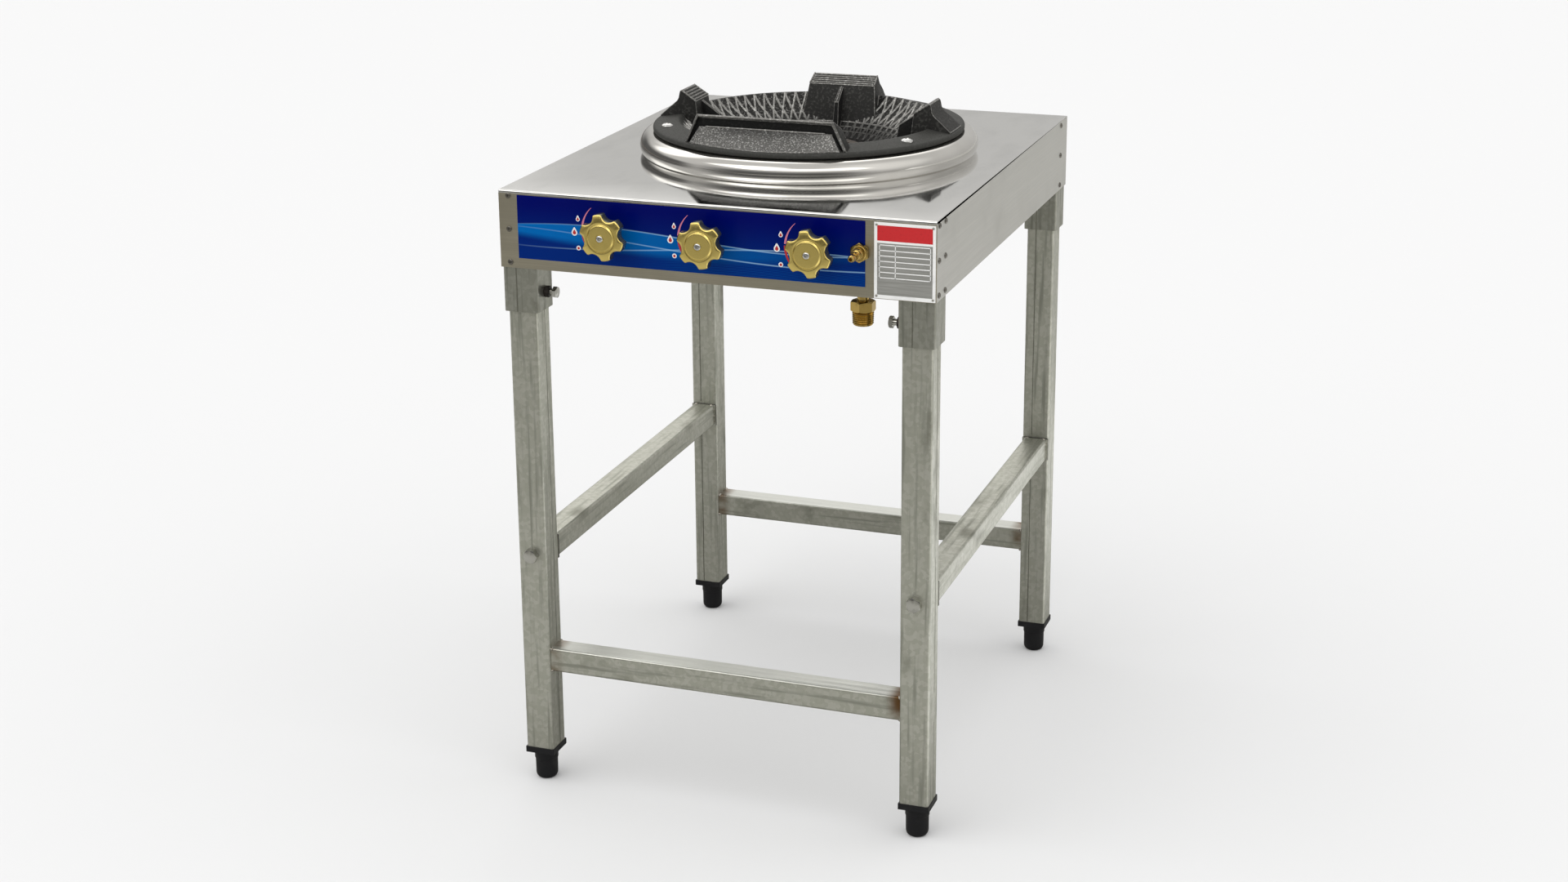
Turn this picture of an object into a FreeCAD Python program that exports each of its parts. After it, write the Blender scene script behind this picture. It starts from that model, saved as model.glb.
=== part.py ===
"""Free-standing gas wok range: a stainless box with three valves and a wok burner on a tube stand.

Millimetres. X runs to the right as seen from the front, Y to the back and Z up. The origin is on the
floor, below the middle of the whole range.
"""
import FreeCAD, Part
import os
import re

import Sketcher
from FreeCAD import Placement, Rotation, Vector

# Driving dimensions, in millimetres, degrees where the name says so
SIZES = {
    # Box of sheet panels
    "box_width": 560,
    "box_depth": 660,
    "box_height": 98,
    "top_height": 800,
    "sheet": 1.2,
    "front_lip": 3,
    "panel_return": 12,
    "return_gap": 1,
    "hole_clearance": 0.4,
    # Printed front sheet and rating plate
    "fascia_sheet": 0.6,
    "fascia_left": 25,
    "fascia_gap": 11,
    "fascia_bottom": 13,
    "fascia_top": 1,
    "plate_width": 75,
    "plate_height": 92,
    "plate_margin": 1,
    # Leg sockets, which run up inside the box as corner posts
    "socket_side": 46,
    "socket_wall": 2,
    "socket_corner": 3.5,
    "socket_drop": 57,
    # Legs and rails
    "leg_side": 38,
    "leg_wall": 1.5,
    "leg_corner": 3,
    "leg_insert": 55,
    "leg_clearance": 48,
    "rail_side": 32,
    "rail_wall": 1.5,
    "rail_corner": 3,
    "cross_rail_level": 175,
    "side_rail_level": 320,
    "end_plate": 3,
    "end_plate_width": 38,
    # Rail bolts and the nuts behind the end plates
    "bolt_radius": 5,
    "bolt_flats": 17,
    "bolt_head": 6.4,
    "bolt_nut": 8,
    "bolt_tail": 4,
    # Clamp screws that hold the legs in their sockets
    "clamp_radius": 4,
    "clamp_flats": 13,
    "clamp_head": 5.3,
    "clamp_nut": 6.8,
    "clamp_free": 5,
    "clamp_level": 23,
    # Feet
    "flange_side": 40,
    "flange_height": 8,
    "plug_depth": 30,
    "plug_fit": 0.1,
    "plug_wall": 4,
    "foot_radius": 15.5,
    "foot_lower_radius": 14.5,
    "foot_tip_radius": 9,
    "foot_collar": 12,
    "foot_round": 7,
    "foot_gap": 0.3,
    "stem_radius": 6,
    "stem_length": 46,
    "running_fit": 0.05,
    # Panel screws
    "screw_radius": 2,
    "screw_length": 8,
    "screw_head": 1.8,
    "screw_head_radius": 3.6,
    "screw_row_inset": 7,
    "screw_front_inset": 13,
    "screw_side_inset": 11,
    "screw_side_second": 37,
    # Place of the fire, from the middle of the box
    "fire_x": 8,
    "fire_y": 8,
    "bowl_hole": 176,
    # Polished trim ring
    "ring_radius": 222,
    "ring_bulge": 17,
    "ring_bulge_level": 12,
    "ring_sheet": 1.2,
    "ring_inner_radius": 182,
    # Cast wok support
    "flange_radius": 204,
    "flange_inner_radius": 168,
    "casting_flange": 8,
    "bowl_floor_radius": 104,
    "bowl_depth": 47,
    "bowl_wall": 8,
    "lug_rise": 37,
    "lug_apex_radius": 170,
    "lug_inner_radius": 150,
    "lug_inner_drop": 13,
    "lug_root_radius": 130,
    "lug_foot_radius": 200,
    "lug_heel": 24,
    "lug_heel_rise": 23,
    "lug_front_width": 182,
    "lug_front_foot": 218,
    "lug_rear_width": 91,
    "lug_rear_foot": 108,
    "lug_side_width": 41,
    "lug_side_foot": 50,
    "panel_slope_rise": 20.5,
    "panel_slope_run": 28,
    "gusset": 6,
    "rim_margin": 2,
    "rim_rise": 7.5,
    "rim_top_radius": 171,
    "rim_foot_radius": 154,
    "rim_wall": 5,
    "fin": 6,
    "fin_top": 18,
    "fin_reach": 24,
    "fin_drop": 16,
    "fin_foot": 10,
    "skirt": 6,
    "skirt_proud": 1.5,
    "skirt_width": 78,
    "support_screw_circle": 187,
    "support_screw_radius": 3,
    "support_screw_head_radius": 7,
    "support_screw_head": 4,
    "support_screw_length": 14,
    "spot_face": 2,
    "spot_depth": 0.5,
    # Knobs
    "valve_drop": 43,
    "knob_radius": 29,
    "knob_thickness": 15,
    "knob_reach": 35,
    "knob_step_radius": 14,
    "knob_step": 1.5,
    "knob_face": 5,
    "knob_boss_radius": 10,
    "scallop_radius": 11,
    "scallop_depth": 6.5,
    "push_travel": 4,
    "push_gap": 0.6,
    # Valves
    "valve_side": 24,
    "valve_length": 46,
    "neck_radius": 7,
    "neck_proud": 1,
    "neck_flats": 19,
    "neck_nut": 5,
    "plug_radius": 8,
    "plug_length": 28,
    "plug_front": 6,
    "plug_gap": 0.3,
    "spindle_radius": 4,
    "spindle_engage": 12,
    "spindle_bore": 20,
    "spindle_clearance": 0.6,
    "stub_radius": 9,
    "jet_radius": 4.5,
    "jet_length": 12,
    "jet_gap": 5,
    # Manifold, inlet and lighter nipple
    "pipe_radius": 13.35,
    "pipe_wall": 2.8,
    "pipe_end": 22,
    "pipe_drop": 26,
    "pipe_setback": 30,
    "inlet_inset": 99,
    "inlet_neck_radius": 7,
    "inlet_hex_drop": 12,
    "inlet_hex": 13,
    "inlet_flats": 27,
    "inlet_thread_radius": 13.22,
    "inlet_thread": 17,
    "inlet_bore_radius": 5,
    "nipple_inset": 16,
    "nipple_reach": 38,
    "nipple_flats": 21,
    "nipple_hex": 7,
    "nipple_barrel_radius": 7,
    "nipple_barrel": 16,
    "nipple_tip_radius": 4.5,
    "nipple_nose": 3,
    "nipple_bore_radius": 2,
    # Burner
    "mix_radius": 12,
    "mix_wall": 1.5,
    "mix_bend": 50,
    "mix_clearance": 1.5,
    "shutter_wall": 2,
    "shutter_length": 14,
    "shutter_lead": 4,
    "shutter_tab": 10,
    "air_hole_radius": 3,
    "chamber_radius": 46,
    "chamber_drop": 16,
    "core_radius": 30,
    "burner_wall": 5,
    "burner_radius": 75,
    "burner_inner_radius": 40,
    "burner_ring_height": 33,
    "inlet_boss_offset": 66,
    "inlet_boss_radius": 16,
    "port_radius": 2.5,
    "port_depth": 9,
    "port_inset": 9,
    "bracket_width": 30,
    "bracket_bar": 4,
    "bracket_tab": 25,
    # Pilot and thermocouple
    "pilot_offset": 84,
    "pilot_aside": 5,
    "pilot_radius": 6,
    "pilot_tip_drop": 4,
    "pilot_tube_radius": 3,
    "pilot_bend": 20,
    "probe_radius": 2.5,
    "probe_aside": 7,
    "lead_radius": 1.5,
    "lead_drop": 8,
    "lead_bend": 6,
    "lead_outboard": 12,
}
# Places across the box: the knobs share out its width, the nipple and inlet keep to its right side
PLACES = {
    "outer_knob_x": "(-0.232 * box_width)",
    "core_knob_x": "(-0.007 * box_width)",
    "pilot_knob_x": "(0.236 * box_width)",
    "nipple_x": "(box_width / 2 - plate_width - 2 * plate_margin - nipple_inset)",
    "inlet_x": "(box_width / 2 - inlet_inset)",
}
RING_PORTS = 24
CORE_PORTS = 12
KNOB_LOBES = 6
KNOB_TURN_DEGREES = 10
LUG_GROOVES = 5

doc = FreeCAD.newDocument("wok_range")
sheet = doc.addObject("Spreadsheet::Sheet", "Sizes")
for row, (alias, number) in enumerate(SIZES.items(), start=1):
    sheet.set(f"A{row}", alias)
    sheet.set(f"B{row}", str(number))
    sheet.setAlias(f"B{row}", alias)
doc.recompute()

# Places worked out from the driving dimensions
HALF = "(box_width / 2)"
BOX_SHIFT = "((nipple_reach - screw_head) / 2)"
FRONT = f"({BOX_SHIFT} - box_depth / 2)"
BACK = f"({BOX_SHIFT} + box_depth / 2)"
DECK = "(top_height - sheet)"
FLOOR = "(top_height - box_height)"
SOCKET_FLOOR = f"({FLOOR} - socket_drop)"
POST_INSET = "(sheet + socket_side / 2)"
LEG_X = f"({HALF} - {POST_INSET})"
LEG_FRONT_Y = f"({FRONT} + {POST_INSET})"
LEG_REAR_Y = f"({BACK} - {POST_INSET})"
LEG_TOP = f"({SOCKET_FLOOR} + leg_insert)"
FIRE_Y = f"({BOX_SHIFT} + fire_y)"
RING_TOP = "(top_height + ring_bulge_level + ring_bulge)"
FLANGE_TOP = f"({RING_TOP} + casting_flange)"
SCREW_SEAT = f"({FLANGE_TOP} - spot_depth)"
VALVE_Z = "(top_height - valve_drop)"
VALVE_BACK = f"({FRONT} + sheet + valve_length)"
PIPE_Y = f"({FRONT} + pipe_setback)"
PIPE_Z = f"({VALVE_Z} - pipe_drop)"
MIX_FRONT = f"({VALVE_BACK} + jet_length + jet_gap)"
CHAMBER_FLOOR = f"({VALVE_Z} - chamber_drop)"
CHAMBER_TOP = f"({VALVE_Z} + mix_radius + mix_clearance)"
BURNER_TOP = f"({CHAMBER_TOP} + burner_ring_height)"
FACE_STACK = "(fascia_sheet + neck_nut + neck_proud)"
CORNERS = {
    "front_left": (-1, -1),
    "front_right": (1, -1),
    "rear_left": (-1, 1),
    "rear_right": (1, 1),
}
KNOBS = {"outer": "outer_knob_x", "core": "core_knob_x", "pilot": "pilot_knob_x"}
TURN = {
    "x": Rotation(Vector(0, 1, 0), 90),
    "-x": Rotation(Vector(0, 1, 0), -90),
    "y": Rotation(Vector(1, 0, 0), -90),
    "-y": Rotation(Vector(1, 0, 0), 90),
    "z": Rotation(),
    "-z": Rotation(Vector(1, 0, 0), 180),
}
SUB_PARTS = []


# Helpers that tie a formula in size names to a property
def bound(formula):
    """Return the formula with places written out and each size name pointing at its cell."""

    def target(word):
        name = word[0]
        if name in PLACES:
            return bound(PLACES[name])
        return f"Sizes.{name}" if name in SIZES else name

    return re.sub(r"[a-z][a-z_0-9]*", target, formula)


def amount(formula):
    return float(sheet.evalExpression(bound(formula)))


def bind(thing, **formulas):
    for name, formula in formulas.items():
        thing.setExpression(name, bound(formula))
    return thing


def place(thing, x, y, z, turn="z"):
    thing.Placement = Placement(Vector(), TURN[turn] if isinstance(turn, str) else turn)
    for axis, formula in zip("xyz", (x, y, z)):
        thing.setExpression(f"Placement.Base.{axis}", bound(formula))
    return thing


# Helpers that make solids
def block(x, y, z, length, width, height):
    """Box with its lowest corner at x, y, z."""
    box = bind(doc.addObject("Part::Box", "block"), Length=length, Width=width, Height=height)
    return place(box, x, y, z)


def rod(axis, x, y, z, radius, length):
    """Round bar that starts at x, y, z and runs along the axis."""
    bar = bind(doc.addObject("Part::Cylinder", "rod"), Radius=radius, Height=length)
    return place(bar, x, y, z, axis)


def taper(axis, x, y, z, radius, end_radius, length):
    cone = bind(doc.addObject("Part::Cone", "taper"), Radius1=radius, Radius2=end_radius, Height=length)
    return place(cone, x, y, z, axis)


def hexagon(axis, x, y, z, flats, length):
    prism = bind(
        doc.addObject("Part::Prism", "hexagon"), Circumradius=f"{flats} / sqrt(3)", Height=length
    )
    prism.Polygon = 6
    return place(prism, x, y, z, axis)


def bend(x, y, z, bend_radius, radius, first_degrees):
    """Quarter turn of round bar in a level plane, about the point x, y, z."""
    elbow = bind(doc.addObject("Part::Torus", "bend"), Radius1=bend_radius, Radius2=radius)
    elbow.Angle3 = 90
    return place(elbow, x, y, z, Rotation(Vector(0, 0, 1), first_degrees))


def fuse(*pieces):
    joined = doc.addObject("Part::MultiFuse", "joined")
    joined.Shapes = list(pieces)
    return joined


def group(*pieces):
    together = doc.addObject("Part::Compound", "group")
    together.Links = list(pieces)
    return together


def shared(*pieces):
    """What all the pieces have in common."""
    overlap = doc.addObject("Part::MultiCommon", "shared")
    overlap.Shapes = list(pieces)
    return overlap


def cut(base, *tools):
    trimmed = doc.addObject("Part::Cut", "trimmed")
    trimmed.Base = base
    trimmed.Tool = tools[0] if len(tools) == 1 else fuse(*tools)
    return trimmed


def sketch_on(body, plane_role):
    sketch = body.newObject("Sketcher::SketchObject", "outline")
    plane = next(part for part in body.Origin.OriginFeatures if part.Role == plane_role)
    sketch.AttachmentSupport = (plane, [""])
    sketch.MapMode = "FlatFace"
    return sketch


def fix_point(sketch, geometry, end, x, y):
    """Hold one end of a line or arc at x, y from the sketch's origin."""
    for kind, formula in (("DistanceX", x), ("DistanceY", y)):
        number = sketch.addConstraint(
            Sketcher.Constraint(kind, -1, 1, geometry, end, amount(formula))
        )
        sketch.setExpression(f"Constraints[{number}]", bound(formula))


def closed_outline(sketch, corners, arcs=()):
    """Draw a closed outline; arcs maps a corner's number to the radius and centre of the arc after it."""
    arcs = dict(arcs)
    points = [Vector(amount(x), amount(y), 0) for x, y in corners]
    edges = []
    for number, start in enumerate(points):
        finish = points[(number + 1) % len(points)]
        if number in arcs:
            radius, centre_x, centre_y = (amount(formula) for formula in arcs[number])
            centre = Vector(centre_x, centre_y, 0)
            middle = (start + finish) / 2 - centre
            through = centre + middle.normalize() * radius
            edges.append(sketch.addGeometry(Part.ArcOfCircle(start, through, finish), False))
        else:
            edges.append(sketch.addGeometry(Part.LineSegment(start, finish), False))
    ends = []
    for number, edge in enumerate(edges):
        first = 1 if (sketch.getPoint(edge, 1) - points[number]).Length < 1e-6 else 2
        ends.append((first, 3 - first))
    for number, edge in enumerate(edges):
        following = (number + 1) % len(edges)
        sketch.addConstraint(
            Sketcher.Constraint(
                "Coincident", edge, ends[number][1], edges[following], ends[following][0]
            )
        )
        fix_point(sketch, edge, ends[number][0], *corners[number])
        if number in arcs:
            limit = sketch.addConstraint(
                Sketcher.Constraint("Radius", edge, amount(arcs[number][0]))
            )
            sketch.setExpression(f"Constraints[{limit}]", bound(arcs[number][0]))


def rounded_square(sketch, side, corner):
    """Draw a square about the sketch's origin with an arc at each corner."""
    half = f"({side}) / 2"
    reach = f"({half} - ({corner}))"
    outline = []
    arcs = {}
    for across, up in ((1, -1), (1, 1), (-1, 1), (-1, -1)):
        near = (f"{across} * {half}", f"{up} * {reach}")
        far = (f"{across} * {reach}", f"{up} * {half}")
        first, last = (near, far) if across * up > 0 else (far, near)
        arcs[len(outline)] = (corner, f"{across} * {reach}", f"{up} * {reach}")
        outline += [first, last]
    closed_outline(sketch, outline, arcs)


def pad(sketch, body, length, backwards=False):
    solid = body.newObject("PartDesign::Pad", "pad")
    solid.Profile = sketch
    solid.Reversed = backwards
    bind(solid, Length=length)
    return body


def square_tube(axis, x, y, z, side, wall, corner, length):
    """Square tube with rounded corners whose section is centred on x, y, z and runs along the axis."""
    body = doc.addObject("PartDesign::Body", "tube")
    sketch = sketch_on(body, {"x": "YZ_Plane", "y": "XZ_Plane", "z": "XY_Plane"}[axis])
    rounded_square(sketch, side, corner)
    rounded_square(sketch, f"{side} - 2 * {wall}", f"max({corner} - {wall}; {wall} / 3)")
    pad(sketch, body, length, backwards=axis == "y")
    return place(body, x, y, z)


def turned(axis, x, y, z, profile, arcs=()):
    """Solid of revolution from radius and height pairs, with its foot at x, y, z."""
    body = doc.addObject("PartDesign::Body", "turned")
    sketch = sketch_on(body, "XZ_Plane")
    closed_outline(sketch, profile, arcs)
    solid = body.newObject("PartDesign::Revolution", "revolution")
    solid.Profile = sketch
    solid.ReferenceAxis = (sketch, ["V_Axis"])
    solid.Angle = 360
    return place(body, x, y, z, axis)


def slab(x, y, z, turn_degrees, width, profile):
    """Plate from an upright outline in radius and height, of the given width across the radius."""
    body = doc.addObject("PartDesign::Body", "slab")
    sketch = sketch_on(body, "XZ_Plane")
    closed_outline(sketch, profile)
    pad(sketch, body, width)
    aside = {0: ("0", "0.5"), 90: ("-0.5", "0"), 180: ("0", "-0.5"), 270: ("0.5", "0")}[turn_degrees]
    along, across = (f"{share} * ({width})" for share in aside)
    turn = Rotation(Vector(0, 0, 1), turn_degrees)
    return place(body, f"{x} + {along}", f"{y} + {across}", z, turn)


def keep(name, thing):
    """Make a solid, or a group of solids, one named sub-part of the range."""
    thing.Label = name
    SUB_PARTS.append(thing)
    return thing


def mirrored_x(side, distance):
    return f"{side} * ({distance})"


# Places of the panel screws, from the outer face of each panel
SCREW_LEVELS = (
    "top_height - screw_row_inset",
    f"{FLOOR} + box_height / 2",
    f"{FLOOR} + screw_row_inset",
)
SIDE_COLUMNS = (
    f"{FRONT} + screw_side_inset",
    f"{FRONT} + screw_side_second",
    f"{BACK} - screw_side_second",
)
SCREW_PLACES = {
    "left": [("x", f"-{HALF}", y, z) for y in SIDE_COLUMNS for z in SCREW_LEVELS],
    "right": [("-x", HALF, y, z) for y in SIDE_COLUMNS for z in SCREW_LEVELS],
    "front": [("y", f"-{HALF} + screw_front_inset", FRONT, z) for z in SCREW_LEVELS],
    "back": [
        ("-y", mirrored_x(side, f"{HALF} - screw_front_inset"), BACK, z)
        for side in (-1, 1)
        for z in SCREW_LEVELS
    ],
}
OPPOSITE = {"x": "-x", "-x": "x", "y": "-y", "-y": "y"}


def screw_holes(walls, radius, length):
    return [
        rod(axis, x, y, z, radius, length) for wall in walls for axis, x, y, z in SCREW_PLACES[wall]
    ]


def make_panels():
    plate = block(f"-{HALF}", FRONT, DECK, "box_width", "box_depth", "sheet")
    lip = block(f"-{HALF}", FRONT, f"{DECK} - front_lip", "box_width", "sheet", "front_lip")
    fire_hole = rod("z", "fire_x", FIRE_Y, f"{DECK} - sheet", "bowl_hole", "3 * sheet")
    keep("top_panel", cut(fuse(plate, lip), fire_hole))

    hole = "screw_radius + hole_clearance"
    return_reach = f"({HALF} - sheet - socket_side - return_gap)"
    for name, y, return_y, height, wall in (
        ("front", FRONT, f"{FRONT} + sheet", "box_height - sheet - front_lip", "front"),
        ("back", f"{BACK} - sheet", f"{BACK} - sheet - panel_return", "box_height - sheet", "back"),
    ):
        face = block(f"-{HALF}", y, FLOOR, "box_width", "sheet", height)
        stiffener = block(
            f"-{return_reach}", return_y, FLOOR, f"2 * {return_reach}", "panel_return", "sheet"
        )
        holes = screw_holes([wall], hole, "2 * sheet")
        if name == "front":
            holes += front_holes("2 * sheet")
        keep(f"{name}_panel", cut(fuse(face, stiffener), *holes))

    for side, x in (("left", f"-{HALF}"), ("right", f"{HALF} - sheet")):
        face = block(x, f"{FRONT} + sheet", FLOOR, "sheet", "box_depth - 2 * sheet", "box_height - sheet")
        keep(f"{side}_panel", cut(face, *screw_holes([side], hole, "2 * sheet")))


def front_holes(depth):
    """Holes for the valve necks and the lighter nipple, from just in front of the front face."""
    start = f"{FRONT} - sheet"
    length = f"sheet + {depth}"
    holes = [
        rod("y", x, start, VALVE_Z, "neck_radius + hole_clearance", length) for x in KNOBS.values()
    ]
    holes.append(
        rod("y", "nipple_x", start, VALVE_Z, "nipple_barrel_radius + hole_clearance", length)
    )
    return holes


def make_front_sheets():
    face_top = f"({DECK} - front_lip)"
    fascia_width = "box_width - fascia_left - plate_width - plate_margin - fascia_gap"
    fascia_height = f"{face_top} - fascia_top - {FLOOR} - fascia_bottom"
    sheet_y = f"{FRONT} - fascia_sheet"
    print_sheet = block(
        f"-{HALF} + fascia_left", sheet_y, f"{FLOOR} + fascia_bottom",
        fascia_width, "fascia_sheet", fascia_height,
    )
    keep("control_fascia", cut(print_sheet, *front_holes("sheet")))
    keep(
        "rating_plate",
        block(
            f"{HALF} - plate_margin - plate_width", sheet_y, f"{face_top} - plate_margin - plate_height",
            "plate_width", "fascia_sheet", "plate_height",
        ),
    )


def make_panel_screws():
    screws = []
    for places in SCREW_PLACES.values():
        for axis, x, y, z in places:
            head = taper(
                OPPOSITE[axis], x, y, z, "screw_head_radius", "screw_head_radius / 2", "screw_head"
            )
            screws.append(fuse(head, rod(axis, x, y, z, "screw_radius", "screw_length")))
    keep("panel_screws", group(*screws))


def make_stand():
    """Sockets, legs, rails, clamp screws and feet."""
    clamp_screws, clamp_nuts, bolts, nuts, end_plates, plugs = [], [], [], [], [], []
    clamp_z = f"({SOCKET_FLOOR} + clamp_level)"
    side_z = "side_rail_level"
    gap = "((socket_side - leg_side) / 2)"
    for corner, (side, depth) in CORNERS.items():
        x = mirrored_x(side, LEG_X)
        y = LEG_FRONT_Y if depth < 0 else LEG_REAR_Y
        inward = "-x" if side > 0 else "x"
        outward = OPPOSITE[inward]
        face_x = f"({x} - {side} * socket_side / 2)"
        leg_face_x = f"({x} - {side} * leg_side / 2)"

        tube = square_tube(
            "z", x, y, SOCKET_FLOOR, "socket_side", "socket_wall", "socket_corner",
            f"{DECK} - {SOCKET_FLOOR}",
        )
        walls = ["left" if side < 0 else "right", "front" if depth < 0 else "back"]
        threads = screw_holes(walls, "screw_radius", "screw_length")
        clamp_hole = rod(outward, face_x, y, clamp_z, "clamp_radius + hole_clearance", "2 * socket_wall")
        keep(f"leg_socket_{corner}", cut(tube, *threads, clamp_hole))

        nut = hexagon(inward, face_x, y, clamp_z, "clamp_flats", "clamp_nut")
        clamp_nuts.append(cut(nut, rod(inward, face_x, y, clamp_z, "clamp_radius", "clamp_nut")))
        shank = f"({gap} + clamp_nut + clamp_free)"
        head_x = f"({leg_face_x} - {side} * {shank})"
        clamp_screws.append(
            fuse(
                rod(inward, leg_face_x, y, clamp_z, "clamp_radius", shank),
                hexagon(inward, head_x, y, clamp_z, "clamp_flats", "clamp_head"),
            )
        )

        leg = square_tube(
            "z", x, y, "leg_clearance", "leg_side", "leg_wall", "leg_corner", f"{LEG_TOP} - leg_clearance"
        )
        into = "y" if depth < 0 else "-y"
        outer_y = f"({y} + {depth} * leg_side / 2)"
        inner_y = f"({y} - {depth} * leg_side / 2)"
        clear = "bolt_radius + hole_clearance"
        keep(f"leg_{corner}", cut(leg, rod(into, x, outer_y, side_z, clear, "leg_side")))

        plate_y = inner_y if depth < 0 else f"{inner_y} - end_plate"
        plate = block(
            f"{x} - end_plate_width / 2", plate_y, f"{side_z} - rail_side / 2",
            "end_plate_width", "end_plate", "rail_side",
        )
        end_plates.append(cut(plate, rod(into, x, inner_y, side_z, clear, "end_plate")))
        nut_y = f"({inner_y} - {depth} * end_plate)"
        nut = hexagon(into, x, nut_y, side_z, "bolt_flats", "bolt_nut")
        nuts.append(cut(nut, rod(into, x, nut_y, side_z, "bolt_radius", "bolt_nut")))
        bolts.append(
            fuse(
                hexagon(OPPOSITE[into], x, outer_y, side_z, "bolt_flats", "bolt_head"),
                rod(into, x, outer_y, side_z, "bolt_radius", "leg_side + end_plate + bolt_nut + bolt_tail"),
            )
        )

        plugs.append(make_plug(x, y))
        make_foot(corner, x, y)

    keep("clamp_nuts", group(*clamp_nuts))
    keep("clamp_screws", group(*clamp_screws))
    keep("rail_end_plates", group(*end_plates))
    keep("rail_nuts", group(*nuts))
    keep("rail_bolts", group(*bolts))
    keep("foot_plugs", group(*plugs))
    make_rails()


def make_plug(x, y):
    """Plastic end plug of a leg, with a threaded bore for the foot."""
    side = "leg_side - 2 * leg_wall - 2 * plug_fit"
    flange_z = "(leg_clearance - flange_height)"
    flange = block(
        f"{x} - flange_side / 2", f"{y} - flange_side / 2", flange_z,
        "flange_side", "flange_side", "flange_height",
    )
    insert = square_tube("z", x, y, "leg_clearance", side, "plug_wall", "leg_corner", "plug_depth")
    bore = rod("z", x, y, flange_z, "stem_radius + running_fit", "flange_height + plug_depth")
    return cut(fuse(flange, insert), bore)


def make_foot(corner, x, y):
    """Round-nosed foot that screws up into the plug until its shoulder meets the flange."""
    shoulder = "(leg_clearance - flange_height - foot_gap)"
    foot = turned(
        "z", x, y, "0",
        [
            ("0", "0"),
            ("foot_tip_radius", "0"),
            ("foot_lower_radius", "foot_round"),
            ("foot_lower_radius", f"{shoulder} - foot_collar"),
            ("foot_radius", f"{shoulder} - foot_collar"),
            ("foot_radius", shoulder),
            ("stem_radius", shoulder),
            ("stem_radius", f"{shoulder} + stem_length"),
            ("0", f"{shoulder} + stem_length"),
        ],
    )
    keep(f"levelling_foot_{corner}", foot)


def make_rails():
    cross_reach = f"({LEG_X} - leg_side / 2)"
    for name, y in (("front_rail", LEG_FRONT_Y), ("rear_rail", LEG_REAR_Y)):
        rail = square_tube(
            "x", f"-{cross_reach}", y, "cross_rail_level", "rail_side", "rail_wall", "rail_corner",
            f"2 * {cross_reach}",
        )
        keep(name, rail)
    start = f"({LEG_FRONT_Y} + leg_side / 2 + end_plate)"
    finish = f"({LEG_REAR_Y} - leg_side / 2 - end_plate)"
    for name, side in (("side_rail_left", -1), ("side_rail_right", 1)):
        rail = square_tube(
            "y", mirrored_x(side, LEG_X), start, "side_rail_level", "rail_side", "rail_wall",
            "rail_corner", f"{finish} - {start}",
        )
        keep(name, rail)


def make_trim_ring():
    """Polished ring, one rolled bulge of sheet that stands on the top panel and carries the casting."""
    centre = "(ring_radius - ring_bulge)"
    crown = "(ring_bulge_level + ring_bulge)"
    inside = "(ring_bulge - ring_sheet)"
    ring = turned(
        "z", "fire_x", FIRE_Y, "top_height",
        [
            (f"{centre} + sqrt(ring_bulge ^ 2 - ring_bulge_level ^ 2)", "0"),
            (centre, crown),
            ("ring_inner_radius", crown),
            ("ring_inner_radius", f"{crown} - ring_sheet"),
            (centre, f"{crown} - ring_sheet"),
            (f"{centre} + sqrt({inside} ^ 2 - ring_bulge_level ^ 2)", "0"),
        ],
        {0: ("ring_bulge", centre, "ring_bulge_level"), 4: (inside, centre, "ring_bulge_level")},
    )
    keep("trim_ring", cut(ring, *flange_rods("-z", "support_screw_radius", "support_screw_length")))


def flange_rods(axis, radius, length):
    """Three rods, up or down from the seats of the casting's screws."""
    return [
        rod(
            axis, f"fire_x + support_screw_circle * cos({angle})",
            f"{FIRE_Y} + support_screw_circle * sin({angle})", SCREW_SEAT, radius, length,
        )
        for angle in (90, 210, 330)
    ]


def on_bowl(radius):
    """Height of the bowl's inner wall at a radius, from the top of the flange."""
    lean = "(flange_inner_radius - bowl_floor_radius) / bowl_depth"
    return f"(({radius} - flange_inner_radius) / ({lean}))"


def casting_slab(turn_degrees, width, profile):
    return slab("fire_x", FIRE_Y, FLANGE_TOP, turn_degrees, width, profile)


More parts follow.
